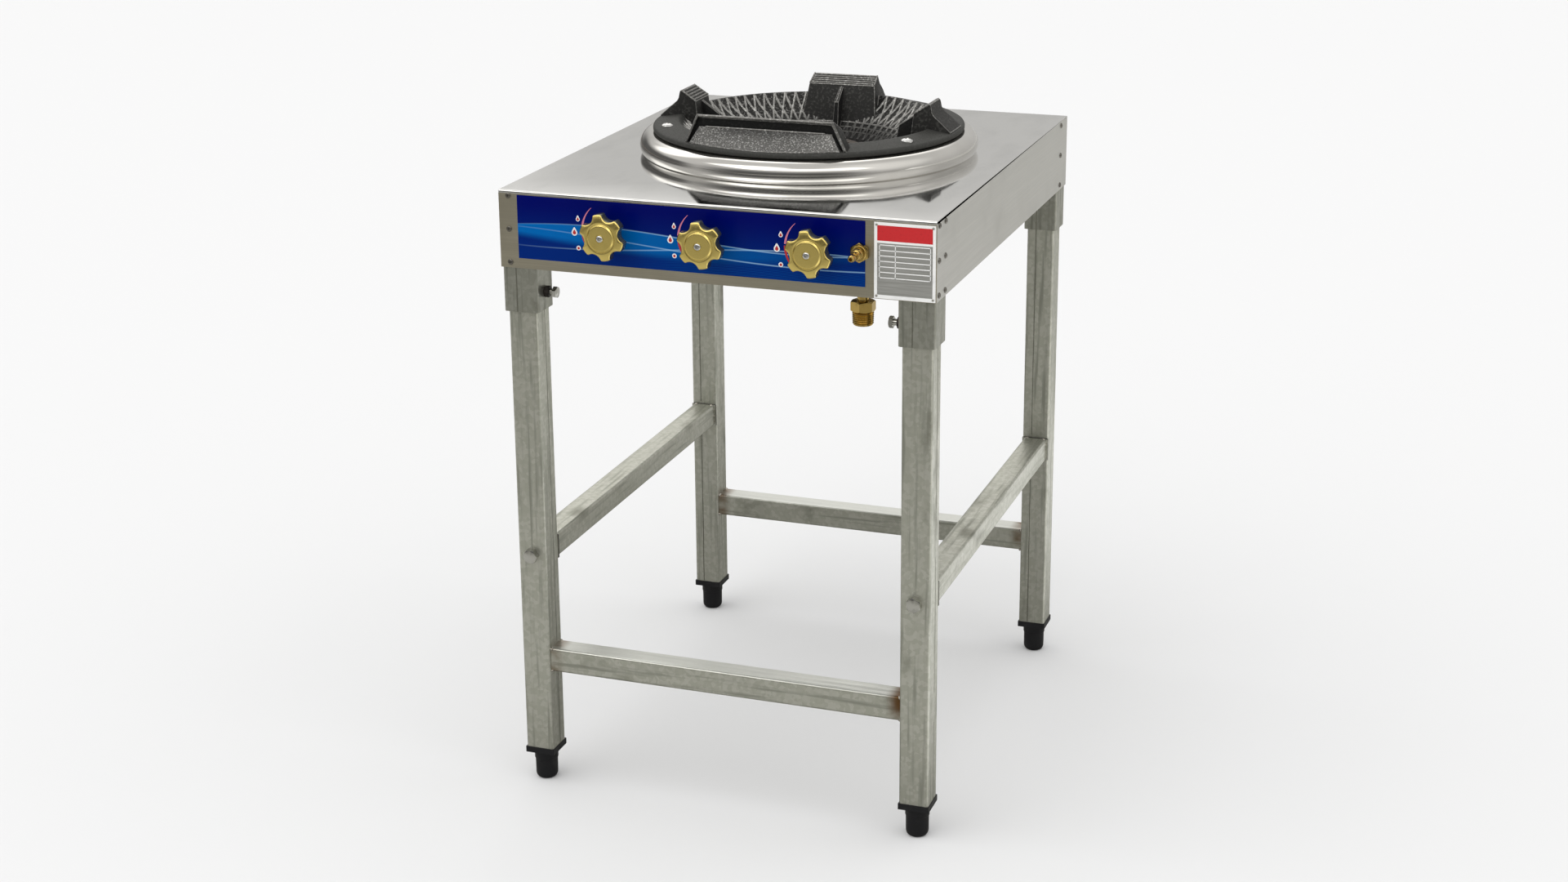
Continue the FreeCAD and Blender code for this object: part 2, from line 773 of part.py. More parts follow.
def make_wok_support():
    """Cast fire bowl with a flange and four lugs that carry the round bottom of a wok."""
    slope = "(flange_inner_radius - bowl_floor_radius)"
    bowl = turned(
        "z", "fire_x", FIRE_Y, FLANGE_TOP,
        [
            ("flange_radius", "-casting_flange"),
            ("flange_radius", "-casting_flange / 3"),
            ("flange_radius - casting_flange / 3", "0"),
            ("flange_inner_radius", "0"),
            ("bowl_floor_radius", "-bowl_depth"),
            ("bowl_floor_radius + bowl_wall", "-bowl_depth - bowl_wall / 2"),
            (f"bowl_floor_radius + bowl_wall + {slope}", "-casting_flange"),
        ],
    )
    pieces = [bowl, make_rear_rim(), make_front_lug(), make_front_skirt()]
    pieces += [make_fin(turn_degrees) for turn_degrees in (0, 90, 180, 270)]
    for turn_degrees, width, foot in (
        (0, "lug_side_width", "lug_side_foot"),
        (90, "lug_rear_width", "lug_rear_foot"),
        (180, "lug_side_width", "lug_side_foot"),
    ):
        heel = [
            ("lug_foot_radius", "-casting_flange / 2"),
            ("lug_foot_radius - lug_heel", "lug_heel_rise"),
        ]
        lug = casting_slab(turn_degrees, foot, heel + lug_saddle() + lug_root())
        root = in_bowl_wall("lug_root_radius")
        pieces.append(shared(lug, rim_limit(), spread_limit(turn_degrees, width, foot, root)))
    casting = fuse(*pieces)
    clear = flange_rods("-z", "support_screw_radius + hole_clearance", "support_screw_length")
    spot_faces = flange_rods("z", "support_screw_head_radius + spot_face", "lug_rise")
    keep("wok_support", cut(casting, *lug_grooves(), *clear, *spot_faces))

    shanks = flange_rods("-z", "support_screw_radius", "support_screw_length")
    heads = flange_rods("z", "support_screw_head_radius", "support_screw_head")
    keep("support_screws", group(*(fuse(shank, head) for shank, head in zip(shanks, heads))))


def in_bowl_wall(radius):
    """Height of a point a little below the bowl's inner face, where what stands on it is rooted."""
    return f"({on_bowl(radius)} - bowl_wall / 3)"


def lug_saddle():
    """Sloping top of a lug, on which the wok rests."""
    return [("lug_apex_radius", "lug_rise"), ("lug_inner_radius", "lug_rise - lug_inner_drop")]


def lug_root():
    """Foot of a lug's inner face in the wall of the bowl, and the way back under the flange's top."""
    return [
        ("lug_root_radius", in_bowl_wall("lug_root_radius")),
        ("flange_inner_radius", "-casting_flange / 2"),
    ]


def make_rear_rim():
    """Wall that raises the rear half of the bowl above the flange, from one side lug to the other."""
    outside = "(rim_top_radius + rim_wall)"
    rim = turned(
        "z", "fire_x", FIRE_Y, FLANGE_TOP,
        [
            ("rim_top_radius", "rim_rise"),
            ("rim_foot_radius", in_bowl_wall("rim_foot_radius")),
            ("flange_inner_radius", "-casting_flange * 3 / 4"),
            (outside, "-casting_flange / 2"),
            (outside, "rim_rise"),
        ],
    )
    rear = block(
        "fire_x - flange_radius", f"{FIRE_Y} - lug_side_width / 4", f"{FLANGE_TOP} - bowl_depth",
        "2 * flange_radius", "flange_radius", "bowl_depth + lug_rise",
    )
    return shared(rim, rear)


def rim_limit():
    """Cylinder that keeps the feet of the lugs on the flange."""
    return rod(
        "z", "fire_x", FIRE_Y, f"{FLANGE_TOP} - bowl_depth", "flange_radius - rim_margin",
        "bowl_depth + casting_flange + lug_rise",
    )


def make_front_lug():
    """Wide front lug: a sloping panel between two gussets that spread towards their feet."""
    panel = casting_slab(
        270, "lug_front_foot",
        [
            ("lug_foot_radius", "-casting_flange / 2"),
            ("lug_foot_radius - panel_slope_run", "panel_slope_rise"),
            *lug_saddle(),
            ("lug_inner_radius", "-casting_flange / 2"),
        ],
    )
    cheeks = casting_slab(
        270, "lug_front_foot",
        [
            ("lug_foot_radius + gusset", "-casting_flange / 3"),
            ("lug_apex_radius + gusset / 3", "lug_rise - gusset / 4"),
            ("lug_inner_radius + gusset / 2", "lug_rise / 2"),
            ("lug_inner_radius + gusset / 2", "-casting_flange / 3"),
        ],
    )
    between = shared(cheeks, rim_limit(), front_spread("0"))
    gussets = cut(between, front_spread("gusset"))
    return fuse(shared(panel, rim_limit(), front_spread("0")), gussets)


def front_spread(inset):
    """Block as wide as the front lug, less an inset at each end."""
    top, foot = (f"({width} - 2 * {inset})" for width in ("lug_front_width", "lug_front_foot"))
    return spread_limit(270, top, foot, "(-casting_flange / 2 - spot_depth)")


def spread_limit(turn_degrees, top, foot, foot_level):
    """Upright block across a lug, wider at its foot than at its top."""
    inward, outward = "(lug_root_radius - skirt)", "(flange_radius + skirt)"
    middle = f"({inward} + {outward}) / 2"
    along, across = {0: ("1", "0"), 90: ("0", "1"), 180: ("-1", "0"), 270: ("0", "-1")}[turn_degrees]
    return slab(
        f"fire_x + {along} * {middle}", f"{FIRE_Y} + {across} * {middle}", FLANGE_TOP,
        (turn_degrees + 90) % 360, f"{outward} - {inward}",
        [
            (f"-{foot} / 2", foot_level),
            (f"{foot} / 2", foot_level),
            (f"{top} / 2", "lug_rise + spot_depth"),
            (f"-{top} / 2", "lug_rise + spot_depth"),
        ],
    )


def make_front_skirt():
    """Plate on the inner side of the front lug, down into the bowl's wall."""
    top = "lug_rise - 3 * lug_inner_drop / 2"
    profile = [("lug_inner_radius + skirt", top), ("lug_inner_radius - skirt_proud", top), *lug_root()]
    return casting_slab(270, "skirt_width", profile)


def make_fin(turn_degrees):
    """Upright fin in the middle of a lug's inner face, down into the bowl's wall."""
    heel = "(lug_inner_radius + skirt / 2)"
    toe = "(lug_inner_radius - fin_reach)"
    foot = "(lug_inner_radius - fin_reach - fin_foot)"
    profile = [
        (heel, "fin_top"),
        (toe, "fin_top - fin_drop"),
        (foot, in_bowl_wall(foot)),
        (heel, in_bowl_wall(heel)),
    ]
    return casting_slab(turn_degrees, "fin", profile)


def lug_grooves():
    """Shallow grooves across the sloping top of each lug, so that the wok doesn't slip."""
    grooves = []
    run = "(lug_apex_radius - lug_inner_radius)"
    for turn_degrees, width in (
        (0, "lug_side_width"), (90, "lug_rear_width"), (180, "lug_side_width"), (270, "lug_front_foot"),
    ):
        for number in range(LUG_GROOVES):
            share = (number + 0.5) / LUG_GROOVES
            middle = f"(lug_inner_radius + {share} * {run})"
            level = f"(lug_rise - lug_inner_drop + {share} * lug_inner_drop)"
            half = f"({run} / {4 * LUG_GROOVES})"
            profile = [
                (f"{middle} - {half}", f"{level} + {half}"),
                (middle, f"{level} - {half}"),
                (f"{middle} + {half}", f"{level} + 2 * {half}"),
            ]
            grooves.append(casting_slab(turn_degrees, f"{width} + fin", profile))
    return grooves


def make_valve(name, x):
    """Gas tap: a body on the manifold, a plug that turns in it, and a spindle that pushes into the plug."""
    half = "valve_side / 2"
    face = f"({FRONT} - {FACE_STACK})"
    cavity = f"({FRONT} + sheet + plug_front)"
    body = block(
        f"{x} - {half}", f"{FRONT} + sheet", f"{VALVE_Z} - {half}",
        "valve_side", "valve_length", "valve_side",
    )
    neck = rod("y", x, face, VALVE_Z, "neck_radius", f"{FACE_STACK} + sheet")
    stub = rod("-z", x, PIPE_Y, VALVE_Z, "stub_radius", "pipe_drop")
    neck_bore = rod(
        "y", x, face, VALVE_Z, "spindle_radius + spindle_clearance", f"{FACE_STACK} + sheet + plug_front"
    )
    plug_bore = rod(
        "y", x, cavity, VALVE_Z, "plug_radius + running_fit", "plug_length + 2 * plug_gap"
    )
    keep(f"valve_body_{name}", cut(fuse(body, neck, stub), neck_bore, plug_bore, pipe_solid()))

    plug_face = f"({cavity} + plug_gap)"
    plug = rod("y", x, plug_face, VALVE_Z, "plug_radius", "plug_length")
    slot = rod("y", x, plug_face, VALVE_Z, "spindle_radius + running_fit", "spindle_bore")
    keep(f"valve_plug_{name}", cut(plug, slot))

    spindle_start = f"({FRONT} - knob_reach + knob_face)"
    spindle_end = f"({plug_face} + spindle_engage)"
    keep(
        f"spindle_{name}",
        rod("y", x, spindle_start, VALVE_Z, "spindle_radius", f"{spindle_end} - {spindle_start}"),
    )
    make_knob(name, x, spindle_start)


def make_knob(name, x, spindle_start):
    """Star knob with a step round the middle of its face and a boss that fits on the spindle."""
    front = f"({FRONT} - knob_reach)"
    boss_end = f"({FRONT} - {FACE_STACK} - push_travel - push_gap)"
    disc = rod("y", x, front, VALVE_Z, "knob_radius", "knob_thickness")
    step = rod("-y", x, front, VALVE_Z, "knob_step_radius", "knob_step")
    boss = rod("y", x, front, VALVE_Z, "knob_boss_radius", f"{boss_end} - {front}")
    reach = "(knob_radius + scallop_radius - scallop_depth)"
    scallops = [
        rod(
            "y", f"{x} + {reach} * cos({angle})", front, f"{VALVE_Z} + {reach} * sin({angle})",
            "scallop_radius", "knob_thickness",
        )
        for angle in (KNOB_TURN_DEGREES + 360 / KNOB_LOBES * lobe for lobe in range(KNOB_LOBES))
    ]
    socket = rod("y", x, spindle_start, VALVE_Z, "spindle_radius", "knob_reach")
    keep(f"knob_{name}", cut(fuse(disc, step, boss), socket, *scallops))


def pipe_solid():
    """The manifold pipe with no bore, for saddles."""
    start = "(outer_knob_x - pipe_end)"
    return rod("x", start, PIPE_Y, PIPE_Z, "pipe_radius", f"nipple_x + pipe_end - {start}")


def make_gas_train():
    """Manifold, inlet, lighter nipple, panel nuts and jets."""
    start = "(outer_knob_x - pipe_end + pipe_wall)"
    bore = rod(
        "x", start, PIPE_Y, PIPE_Z, "pipe_radius - pipe_wall", f"nipple_x + pipe_end - pipe_wall - {start}"
    )
    keep("gas_manifold", cut(pipe_solid(), bore))

    hex_top = f"({FLOOR} - inlet_hex_drop)"
    thread_top = f"({hex_top} - inlet_hex)"
    neck = rod("-z", "inlet_x", PIPE_Y, PIPE_Z, "inlet_neck_radius", f"{PIPE_Z} - {hex_top}")
    nut = hexagon("-z", "inlet_x", PIPE_Y, hex_top, "inlet_flats", "inlet_hex")
    thread = rod("-z", "inlet_x", PIPE_Y, thread_top, "inlet_thread_radius", "inlet_thread")
    passage = rod(
        "-z", "inlet_x", PIPE_Y, PIPE_Z, "inlet_bore_radius", f"{PIPE_Z} - {thread_top} + inlet_thread"
    )
    keep("gas_inlet", cut(fuse(neck, nut, thread), passage, pipe_solid()))

    make_lighter_nipple()
    nuts = []
    for x in KNOBS.values():
        nut = hexagon("-y", x, f"{FRONT} - fascia_sheet", VALVE_Z, "neck_flats", "neck_nut")
        hole = rod("-y", x, f"{FRONT} - fascia_sheet", VALVE_Z, "neck_radius", "neck_nut")
        nuts.append(cut(nut, hole))
    keep("valve_nuts", group(*nuts))
    jets = [
        rod("y", x, VALVE_BACK, VALVE_Z, "jet_radius", "jet_length")
        for x in ("outer_knob_x", "core_knob_x")
    ]
    keep("gas_jets", group(*jets))


def make_lighter_nipple():
    """Brass nipple for a lighter wand's hose, on its own branch of the manifold."""
    x = "nipple_x"
    half = "valve_side / 2"
    face = f"({FRONT} - fascia_sheet)"
    branch = block(
        f"{x} - {half}", f"{FRONT} + sheet", f"{VALVE_Z} - {half}",
        "valve_side", "valve_length", "valve_side",
    )
    stub = rod("-z", x, PIPE_Y, VALVE_Z, "stub_radius", "pipe_drop")
    shank = rod("-y", x, f"{FRONT} + sheet", VALVE_Z, "nipple_barrel_radius", "sheet + fascia_sheet")
    nut = hexagon("-y", x, face, VALVE_Z, "nipple_flats", "nipple_hex")
    barrel = rod("-y", x, face, VALVE_Z, "nipple_barrel_radius", "nipple_barrel")
    tip_start = f"({face} - nipple_barrel)"
    tip_length = "(nipple_reach - fascia_sheet - nipple_barrel - nipple_nose)"
    tip = rod("-y", x, tip_start, VALVE_Z, "nipple_tip_radius", tip_length)
    nose = taper(
        "-y", x, f"{tip_start} - {tip_length}", VALVE_Z, "nipple_tip_radius", "nipple_tip_radius / 1.5",
        "nipple_nose",
    )
    passage = rod("y", x, f"{FRONT} - nipple_reach", VALVE_Z, "nipple_bore_radius", "nipple_reach")
    keep("lighter_nipple", cut(fuse(branch, stub, shank, nut, barrel, tip, nose), passage, pipe_solid()))


def make_mixing_tubes():
    """Two tubes that carry gas and air from the jets to the burner, each with a turning air shutter."""
    boss_x = "(fire_x - inlet_boss_offset)"
    corner_y = f"({FIRE_Y} - mix_bend)"

    def bent(radius):
        x = "outer_knob_x"
        return fuse(
            rod("y", x, MIX_FRONT, VALVE_Z, radius, f"{corner_y} - {MIX_FRONT}"),
            bend(f"{x} + mix_bend", corner_y, VALVE_Z, "mix_bend", radius, 90),
            rod("x", f"{x} + mix_bend", FIRE_Y, VALVE_Z, radius, f"{boss_x} - {x} - mix_bend"),
        )

    def straight(radius):
        return rod("y", "core_knob_x", MIX_FRONT, VALVE_Z, radius, f"{FIRE_Y} - {MIX_FRONT}")

    boss = rod("z", boss_x, FIRE_Y, CHAMBER_FLOOR, "inlet_boss_radius", f"{CHAMBER_TOP} - {CHAMBER_FLOOR}")
    chamber = rod(
        "z", "fire_x", FIRE_Y, CHAMBER_FLOOR, "chamber_radius", f"{CHAMBER_TOP} - {CHAMBER_FLOOR}"
    )
    for name, x, path, target in (
        ("outer", "outer_knob_x", bent, boss),
        ("core", "core_knob_x", straight, chamber),
    ):
        collar_y = f"({MIX_FRONT} + shutter_lead + shutter_length + plug_gap)"
        collar = rod("y", x, collar_y, VALVE_Z, "mix_radius + shutter_wall", "shutter_wall")
        tube = cut(
            fuse(path("mix_radius"), collar), path("mix_radius - mix_wall"), target, *air_holes(x)
        )
        keep(f"mixing_tube_{name}", tube)
        make_air_shutter(name, x)


def air_holes(x):
    """Cross holes through the tube and its shutter."""
    y = f"({MIX_FRONT} + shutter_lead + shutter_length / 2)"
    reach = "(mix_radius + 2 * shutter_wall)"
    return [
        rod("x", f"{x} - {reach}", y, VALVE_Z, "air_hole_radius", f"2 * {reach}"),
        rod("z", x, y, f"{VALVE_Z} - {reach}", "air_hole_radius", f"2 * {reach}"),
    ]


def make_air_shutter(name, x):
    start = f"({MIX_FRONT} + shutter_lead)"
    sleeve = rod("y", x, start, VALVE_Z, "mix_radius + shutter_wall", "shutter_length")
    tab = block(
        f"{x} - shutter_wall / 2", start, f"{VALVE_Z} - mix_radius - shutter_tab",
        "shutter_wall", "shutter_length", "shutter_tab",
    )
    bore = rod("y", x, start, VALVE_Z, "mix_radius + running_fit", "shutter_length")
    keep(f"air_shutter_{name}", cut(fuse(sleeve, tab), bore, *air_holes(x)))


def make_burner():
    """Core chamber, outer ring, the bar that carries them, pilot and thermocouple."""
    height = f"({CHAMBER_TOP} - {CHAMBER_FLOOR})"
    core = turned(
        "z", "fire_x", FIRE_Y, CHAMBER_FLOOR,
        [
            ("burner_wall", "0"),
            ("chamber_radius", "0"),
            ("chamber_radius", height),
            ("core_radius", height),
            ("core_radius", f"{height} + burner_ring_height"),
            ("0", f"{height} + burner_ring_height"),
            ("0", f"{height} + burner_ring_height - burner_wall"),
            ("core_radius - burner_wall", f"{height} + burner_ring_height - burner_wall"),
            ("core_radius - burner_wall", f"{height} - burner_wall"),
            ("chamber_radius - burner_wall", f"{height} - burner_wall"),
            ("chamber_radius - burner_wall", "burner_wall"),
            ("burner_wall", "burner_wall"),
        ],
    )
    way_length = f"{FIRE_Y} - {MIX_FRONT}"
    gas_way = rod("y", "core_knob_x", MIX_FRONT, VALVE_Z, "mix_radius - mix_wall", way_length)
    ports = ring_of_ports(CORE_PORTS, "core_radius - port_inset")
    keep("burner_core", cut(core, gas_way, *ports))

    ring = turned(
        "z", "fire_x", FIRE_Y, CHAMBER_TOP,
        [
            ("burner_inner_radius", "0"),
            ("burner_radius", "0"),
            ("burner_radius", "burner_ring_height - burner_wall"),
            ("burner_radius - burner_wall", "burner_ring_height"),
            ("burner_inner_radius", "burner_ring_height"),
        ],
    )
    boss_x = "(fire_x - inlet_boss_offset)"
    boss = rod("z", boss_x, FIRE_Y, CHAMBER_FLOOR, "inlet_boss_radius", f"{height} + burner_wall")
    ring_way = rod("z", boss_x, FIRE_Y, f"{VALVE_Z} - mix_radius", "mix_radius - mix_wall", height)
    tube_way = rod("-x", boss_x, FIRE_Y, VALVE_Z, "mix_radius - mix_wall", "2 * inlet_boss_radius")
    ports = ring_of_ports(RING_PORTS, "burner_radius - 2 * port_inset")
    keep("burner_ring", cut(fuse(ring, boss), ring_way, tube_way, *ports))

    bar_z = f"({CHAMBER_FLOOR} - bracket_bar)"
    bar_y = f"({FIRE_Y} - bracket_width / 2)"
    bar = block(
        f"-{HALF} + sheet", bar_y, bar_z, "box_width - 2 * sheet", "bracket_width", "bracket_bar"
    )
    tabs = [
        block(x, bar_y, bar_z, "bracket_bar", "bracket_width", "bracket_tab")
        for x in (f"-{HALF} + sheet", f"{HALF} - sheet - bracket_bar")
    ]
    keep("burner_bracket", fuse(bar, *tabs))
    make_pilot()


def ring_of_ports(count, circle):
    return [
        rod(
            "-z", f"fire_x + ({circle}) * cos({360 * number / count})",
            f"{FIRE_Y} + ({circle}) * sin({360 * number / count})", BURNER_TOP, "port_radius", "port_depth",
        )
        for number in range(count)
    ]


def make_pilot():
    """Pilot burner with its tube, and the thermocouple beside it with its lead."""
    pilot_x = "(fire_x + pilot_offset)"
    pilot_y = f"({FIRE_Y} - pilot_aside)"
    tip = f"({BURNER_TOP} - pilot_tip_drop)"
    stem = rod("z", pilot_x, pilot_y, CHAMBER_FLOOR, "pilot_radius", f"{tip} - {CHAMBER_FLOOR}")
    run_x = "pilot_knob_x"
    corner_y = f"({pilot_y} - pilot_bend)"
    radius = "pilot_tube_radius"
    tube = fuse(
        stem,
        rod("y", run_x, VALVE_BACK, VALVE_Z, radius, f"{corner_y} - {VALVE_BACK}"),
        bend(f"{run_x} - pilot_bend", corner_y, VALVE_Z, "pilot_bend", radius, 0),
        rod("-x", f"{run_x} - pilot_bend", pilot_y, VALVE_Z, radius, f"{run_x} - pilot_bend - {pilot_x}"),
    )
    keep("pilot_burner", tube)

    probe_y = f"({FIRE_Y} + probe_aside)"
    lead_z = f"({VALVE_Z} - lead_drop)"
    lead_x = "(pilot_knob_x + valve_side / 2 + lead_outboard)"
    far_y = f"({probe_y} - lead_bend)"
    near_y = f"({VALVE_BACK} - valve_length / 4 + lead_bend)"
    radius = "lead_radius"
    end_x = f"({lead_x} - lead_bend)"
    lead = fuse(
        rod("z", pilot_x, probe_y, CHAMBER_FLOOR, "probe_radius", f"{tip} - {CHAMBER_FLOOR}"),
        rod("x", pilot_x, probe_y, lead_z, radius, f"{end_x} - {pilot_x}"),
        bend(end_x, far_y, lead_z, "lead_bend", radius, 0),
        rod("y", lead_x, near_y, lead_z, radius, f"{far_y} - {near_y}"),
        bend(end_x, near_y, lead_z, "lead_bend", radius, 270),
        rod(
            "-x", end_x, f"{near_y} - lead_bend", lead_z, radius,
            f"{end_x} - pilot_knob_x - valve_side / 2",
        ),
    )
    keep("thermocouple", lead)


def check_and_export():
    doc.recompute()
    for thing in doc.Objects:
        if {"Invalid", "Error"} & set(thing.State):
            raise RuntimeError(f"{thing.Label} ({thing.Name}) failed: {thing.State}")
    os.makedirs("parts", exist_ok=True)
    for part in SUB_PARTS:
        shape = part.Shape
        if shape.isNull() or not shape.isValid() or not shape.Solids:
            raise RuntimeError(f"{part.Label} has no valid solid")
        shape.exportStep(f"parts/{part.Label}.step")
        box = shape.BoundBox
        print(
            f"{part.Label}: {len(shape.Solids)} solids, volume {shape.Volume:.0f},"
            f" x {box.XMin:.1f} to {box.XMax:.1f}, y {box.YMin:.1f} to {box.YMax:.1f},"
            f" z {box.ZMin:.1f} to {box.ZMax:.1f}"
        )


make_panels()
make_front_sheets()
make_panel_screws()
make_stand()
make_trim_ring()
make_wok_support()
for knob_name, knob_x in KNOBS.items():
    make_valve(knob_name, knob_x)
make_gas_train()
make_mixing_tubes()
make_burner()
check_and_export()
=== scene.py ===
# %% [markdown]
# # A gas wok range, dressed in Blender
# The range is a shallow stainless box on a tube stand, with a cast fire bowl, a polished ring and
# three gold knobs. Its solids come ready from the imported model, so nothing here is placed by eye.
# Loading them first gives us the frame that every later piece is measured against and rides on.

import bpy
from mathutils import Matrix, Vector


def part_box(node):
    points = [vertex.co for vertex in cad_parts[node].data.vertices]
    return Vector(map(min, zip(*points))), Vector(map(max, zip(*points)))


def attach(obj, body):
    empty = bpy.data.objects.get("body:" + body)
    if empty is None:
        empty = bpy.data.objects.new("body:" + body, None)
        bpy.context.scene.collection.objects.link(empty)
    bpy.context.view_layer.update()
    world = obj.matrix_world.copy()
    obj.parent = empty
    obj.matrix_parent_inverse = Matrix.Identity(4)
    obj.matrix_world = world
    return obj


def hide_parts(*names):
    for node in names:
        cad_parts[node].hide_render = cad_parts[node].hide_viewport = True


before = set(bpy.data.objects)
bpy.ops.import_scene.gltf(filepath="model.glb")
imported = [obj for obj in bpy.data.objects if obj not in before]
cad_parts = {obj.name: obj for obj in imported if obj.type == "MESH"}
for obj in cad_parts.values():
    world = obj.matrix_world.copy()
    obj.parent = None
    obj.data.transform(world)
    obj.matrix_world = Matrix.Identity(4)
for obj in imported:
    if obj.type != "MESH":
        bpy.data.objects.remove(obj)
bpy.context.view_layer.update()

# %% [markdown]
# A workshop drawing of a range is in millimetres, and Blender works in metres. We could type every
# size in metres, but 0.0184 is harder to read than 18.4. So shapes are drawn in millimetres, and one
# helper scales a finished shape down. The places of legs and knobs are read from the solids; the half
# widths of leg and socket, the inner face of a rail's end plate and the levels of rails and clamp
# screws are those of the solids too.

# %% Measure the solids
import math
import random

import bmesh
import bpy
from mathutils import Matrix, Vector, noise

MM = 0.001


def box_mm(node):
    low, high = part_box(node)
    return low / MM, high / MM


def middle_mm(node):
    low, high = box_mm(node)
    return (low + high) / 2


CORNERS = {"front_left": (-1, -1), "front_right": (1, -1), "rear_left": (-1, 1), "rear_right": (1, 1)}
LEGS = {corner: middle_mm(f"leg_{corner}") for corner in CORNERS}
KNOBS = {name: middle_mm(f"knob_{name}") for name in ("outer", "core", "pilot")}
FRONT = box_mm("front_panel")[0].y
BACK = box_mm("back_panel")[1].y
PRINT_FACE = box_mm("control_fascia")[0].y
DECK = box_mm("top_panel")[1].z
FIRE = middle_mm("trim_ring")
FLANGE = box_mm("trim_ring")[1].z + 8
LEG_HALF = 19
SOCKET_HALF = 23
PLATE_FACE = 22
LOW_RAIL_LEVEL = 175
RAIL_LEVEL = 320
CLAMP_LEVEL = 668
print("fire centre", [round(v, 1) for v in FIRE], "deck", round(DECK, 1), "front", round(FRONT, 1))

# %% [markdown]
# The photographer stood to the right and looked down a little. The lens and place below were worked
# out from the corners of the box and the feet, so the picture lines up with the real one. A small
# shift keeps the uprights where the photograph has them; no focus blur, because other views reuse it.

# %% Set up the camera
scene = bpy.context.scene
camera_data = bpy.data.cameras.new("camera")
camera_data.lens = 55.774
camera_data.sensor_width = 36
camera_data.shift_y = -100 / 1920
camera = bpy.data.objects.new("camera", camera_data)
camera.location = (1.0259, -2.9432, 1.4637)
camera.rotation_euler = [math.radians(angle) for angle in (73.123, 0.429, 19.431)]
scene.collection.objects.link(camera)
scene.camera = camera
print("camera", [round(v, 3) for v in camera.location], "lens", camera_data.lens)

# %% [markdown]
# Finishes come next, because each piece asks for one as it is made. A finish is one shader plus
# patterns that vary its colour, gloss and relief. Wiring nodes by hand is long, so a Field stands for
# one number that changes over the surface, and can be added, multiplied or turned into a soft step.

# %% A field: one number over a surface
class Field:
    """One output of a node tree, with short ways to calculate with it."""

    def __init__(self, tree, socket):
        self.tree = tree
        self.socket = socket

    def feed(self, node, place, value):
        if isinstance(value, Field):
            self.tree.links.new(value.socket, node.inputs[place])
        else:
            node.inputs[place].default_value = value

    def calculate(self, operation, *others):
        node = self.tree.nodes.new("ShaderNodeMath")
        node.operation = operation
        for place, value in enumerate((self, *others)):
            self.feed(node, place, value)
        return Field(self.tree, node.outputs[0])

    def __add__(self, other):
        return self.calculate("ADD", other)

    def __sub__(self, other):
        return self.calculate("SUBTRACT", other)

    def __mul__(self, other):
        return self.calculate("MULTIPLY", other)

    def sine(self):
        return self.calculate("SINE")

    def size(self):
        return self.calculate("ABSOLUTE")

    def step(self, low, high):
        """0 at low and 1 at high, with a soft change between them."""
        node = self.tree.nodes.new("ShaderNodeMapRange")
        node.interpolation_type = "SMOOTHSTEP"
        for place, value in enumerate((self, low, high)):
            self.feed(node, place, value)
        return Field(self.tree, node.outputs["Result"])


print("a field can be added, subtracted, multiplied and stepped")

# %% Patterns: the fields of one material
class Patterns:
    """A new material and the fields that can vary over its surface."""

    def __init__(self, name):
        self.material = bpy.data.materials.new(name)
        self.material.use_nodes = True
        self.tree = self.material.node_tree

    def point(self):
        node = self.tree.nodes.new("ShaderNodeTexCoord")
        return node.outputs["Object"]

    def place(self):
        """The three coordinates of the surface, in metres."""
        node = self.tree.nodes.new("ShaderNodeSeparateXYZ")
        self.tree.links.new(self.point(), node.inputs[0])
        return [Field(self.tree, output) for output in node.outputs]

    def upward(self):
        """1 where the surface looks up, 0 on its sides."""
        normal = self.tree.nodes.new("ShaderNodeNewGeometry")
        node = self.tree.nodes.new("ShaderNodeSeparateXYZ")
        self.tree.links.new(normal.outputs["Normal"], node.inputs[0])
        return Field(self.tree, node.outputs[2]).step(0.4, 0.8)

    def stretched(self, stretch):
        node = self.tree.nodes.new("ShaderNodeMapping")
        node.inputs["Scale"].default_value = stretch
        self.tree.links.new(self.point(), node.inputs["Vector"])
        return node.outputs["Vector"]

    def grain(self, scale, stretch=(1, 1, 1), detail=4, twist=0):
        node = self.tree.nodes.new("ShaderNodeTexNoise")
        node.inputs["Scale"].default_value = scale
        node.inputs["Detail"].default_value = detail
        node.inputs["Distortion"].default_value = twist
        self.tree.links.new(self.stretched(stretch), node.inputs["Vector"])
        return Field(self.tree, node.outputs[0])

    def crystals(self, scale):
        """One chance number for each crystal-like cell."""
        cells = self.tree.nodes.new("ShaderNodeTexVoronoi")
        cells.inputs["Scale"].default_value = scale
        self.tree.links.new(self.point(), cells.inputs["Vector"])
        split = self.tree.nodes.new("ShaderNodeSeparateColor")
        self.tree.links.new(cells.outputs["Color"], split.inputs[0])
        return Field(self.tree, split.outputs[0])


print("patterns: coordinates, upward faces, grain and crystals")

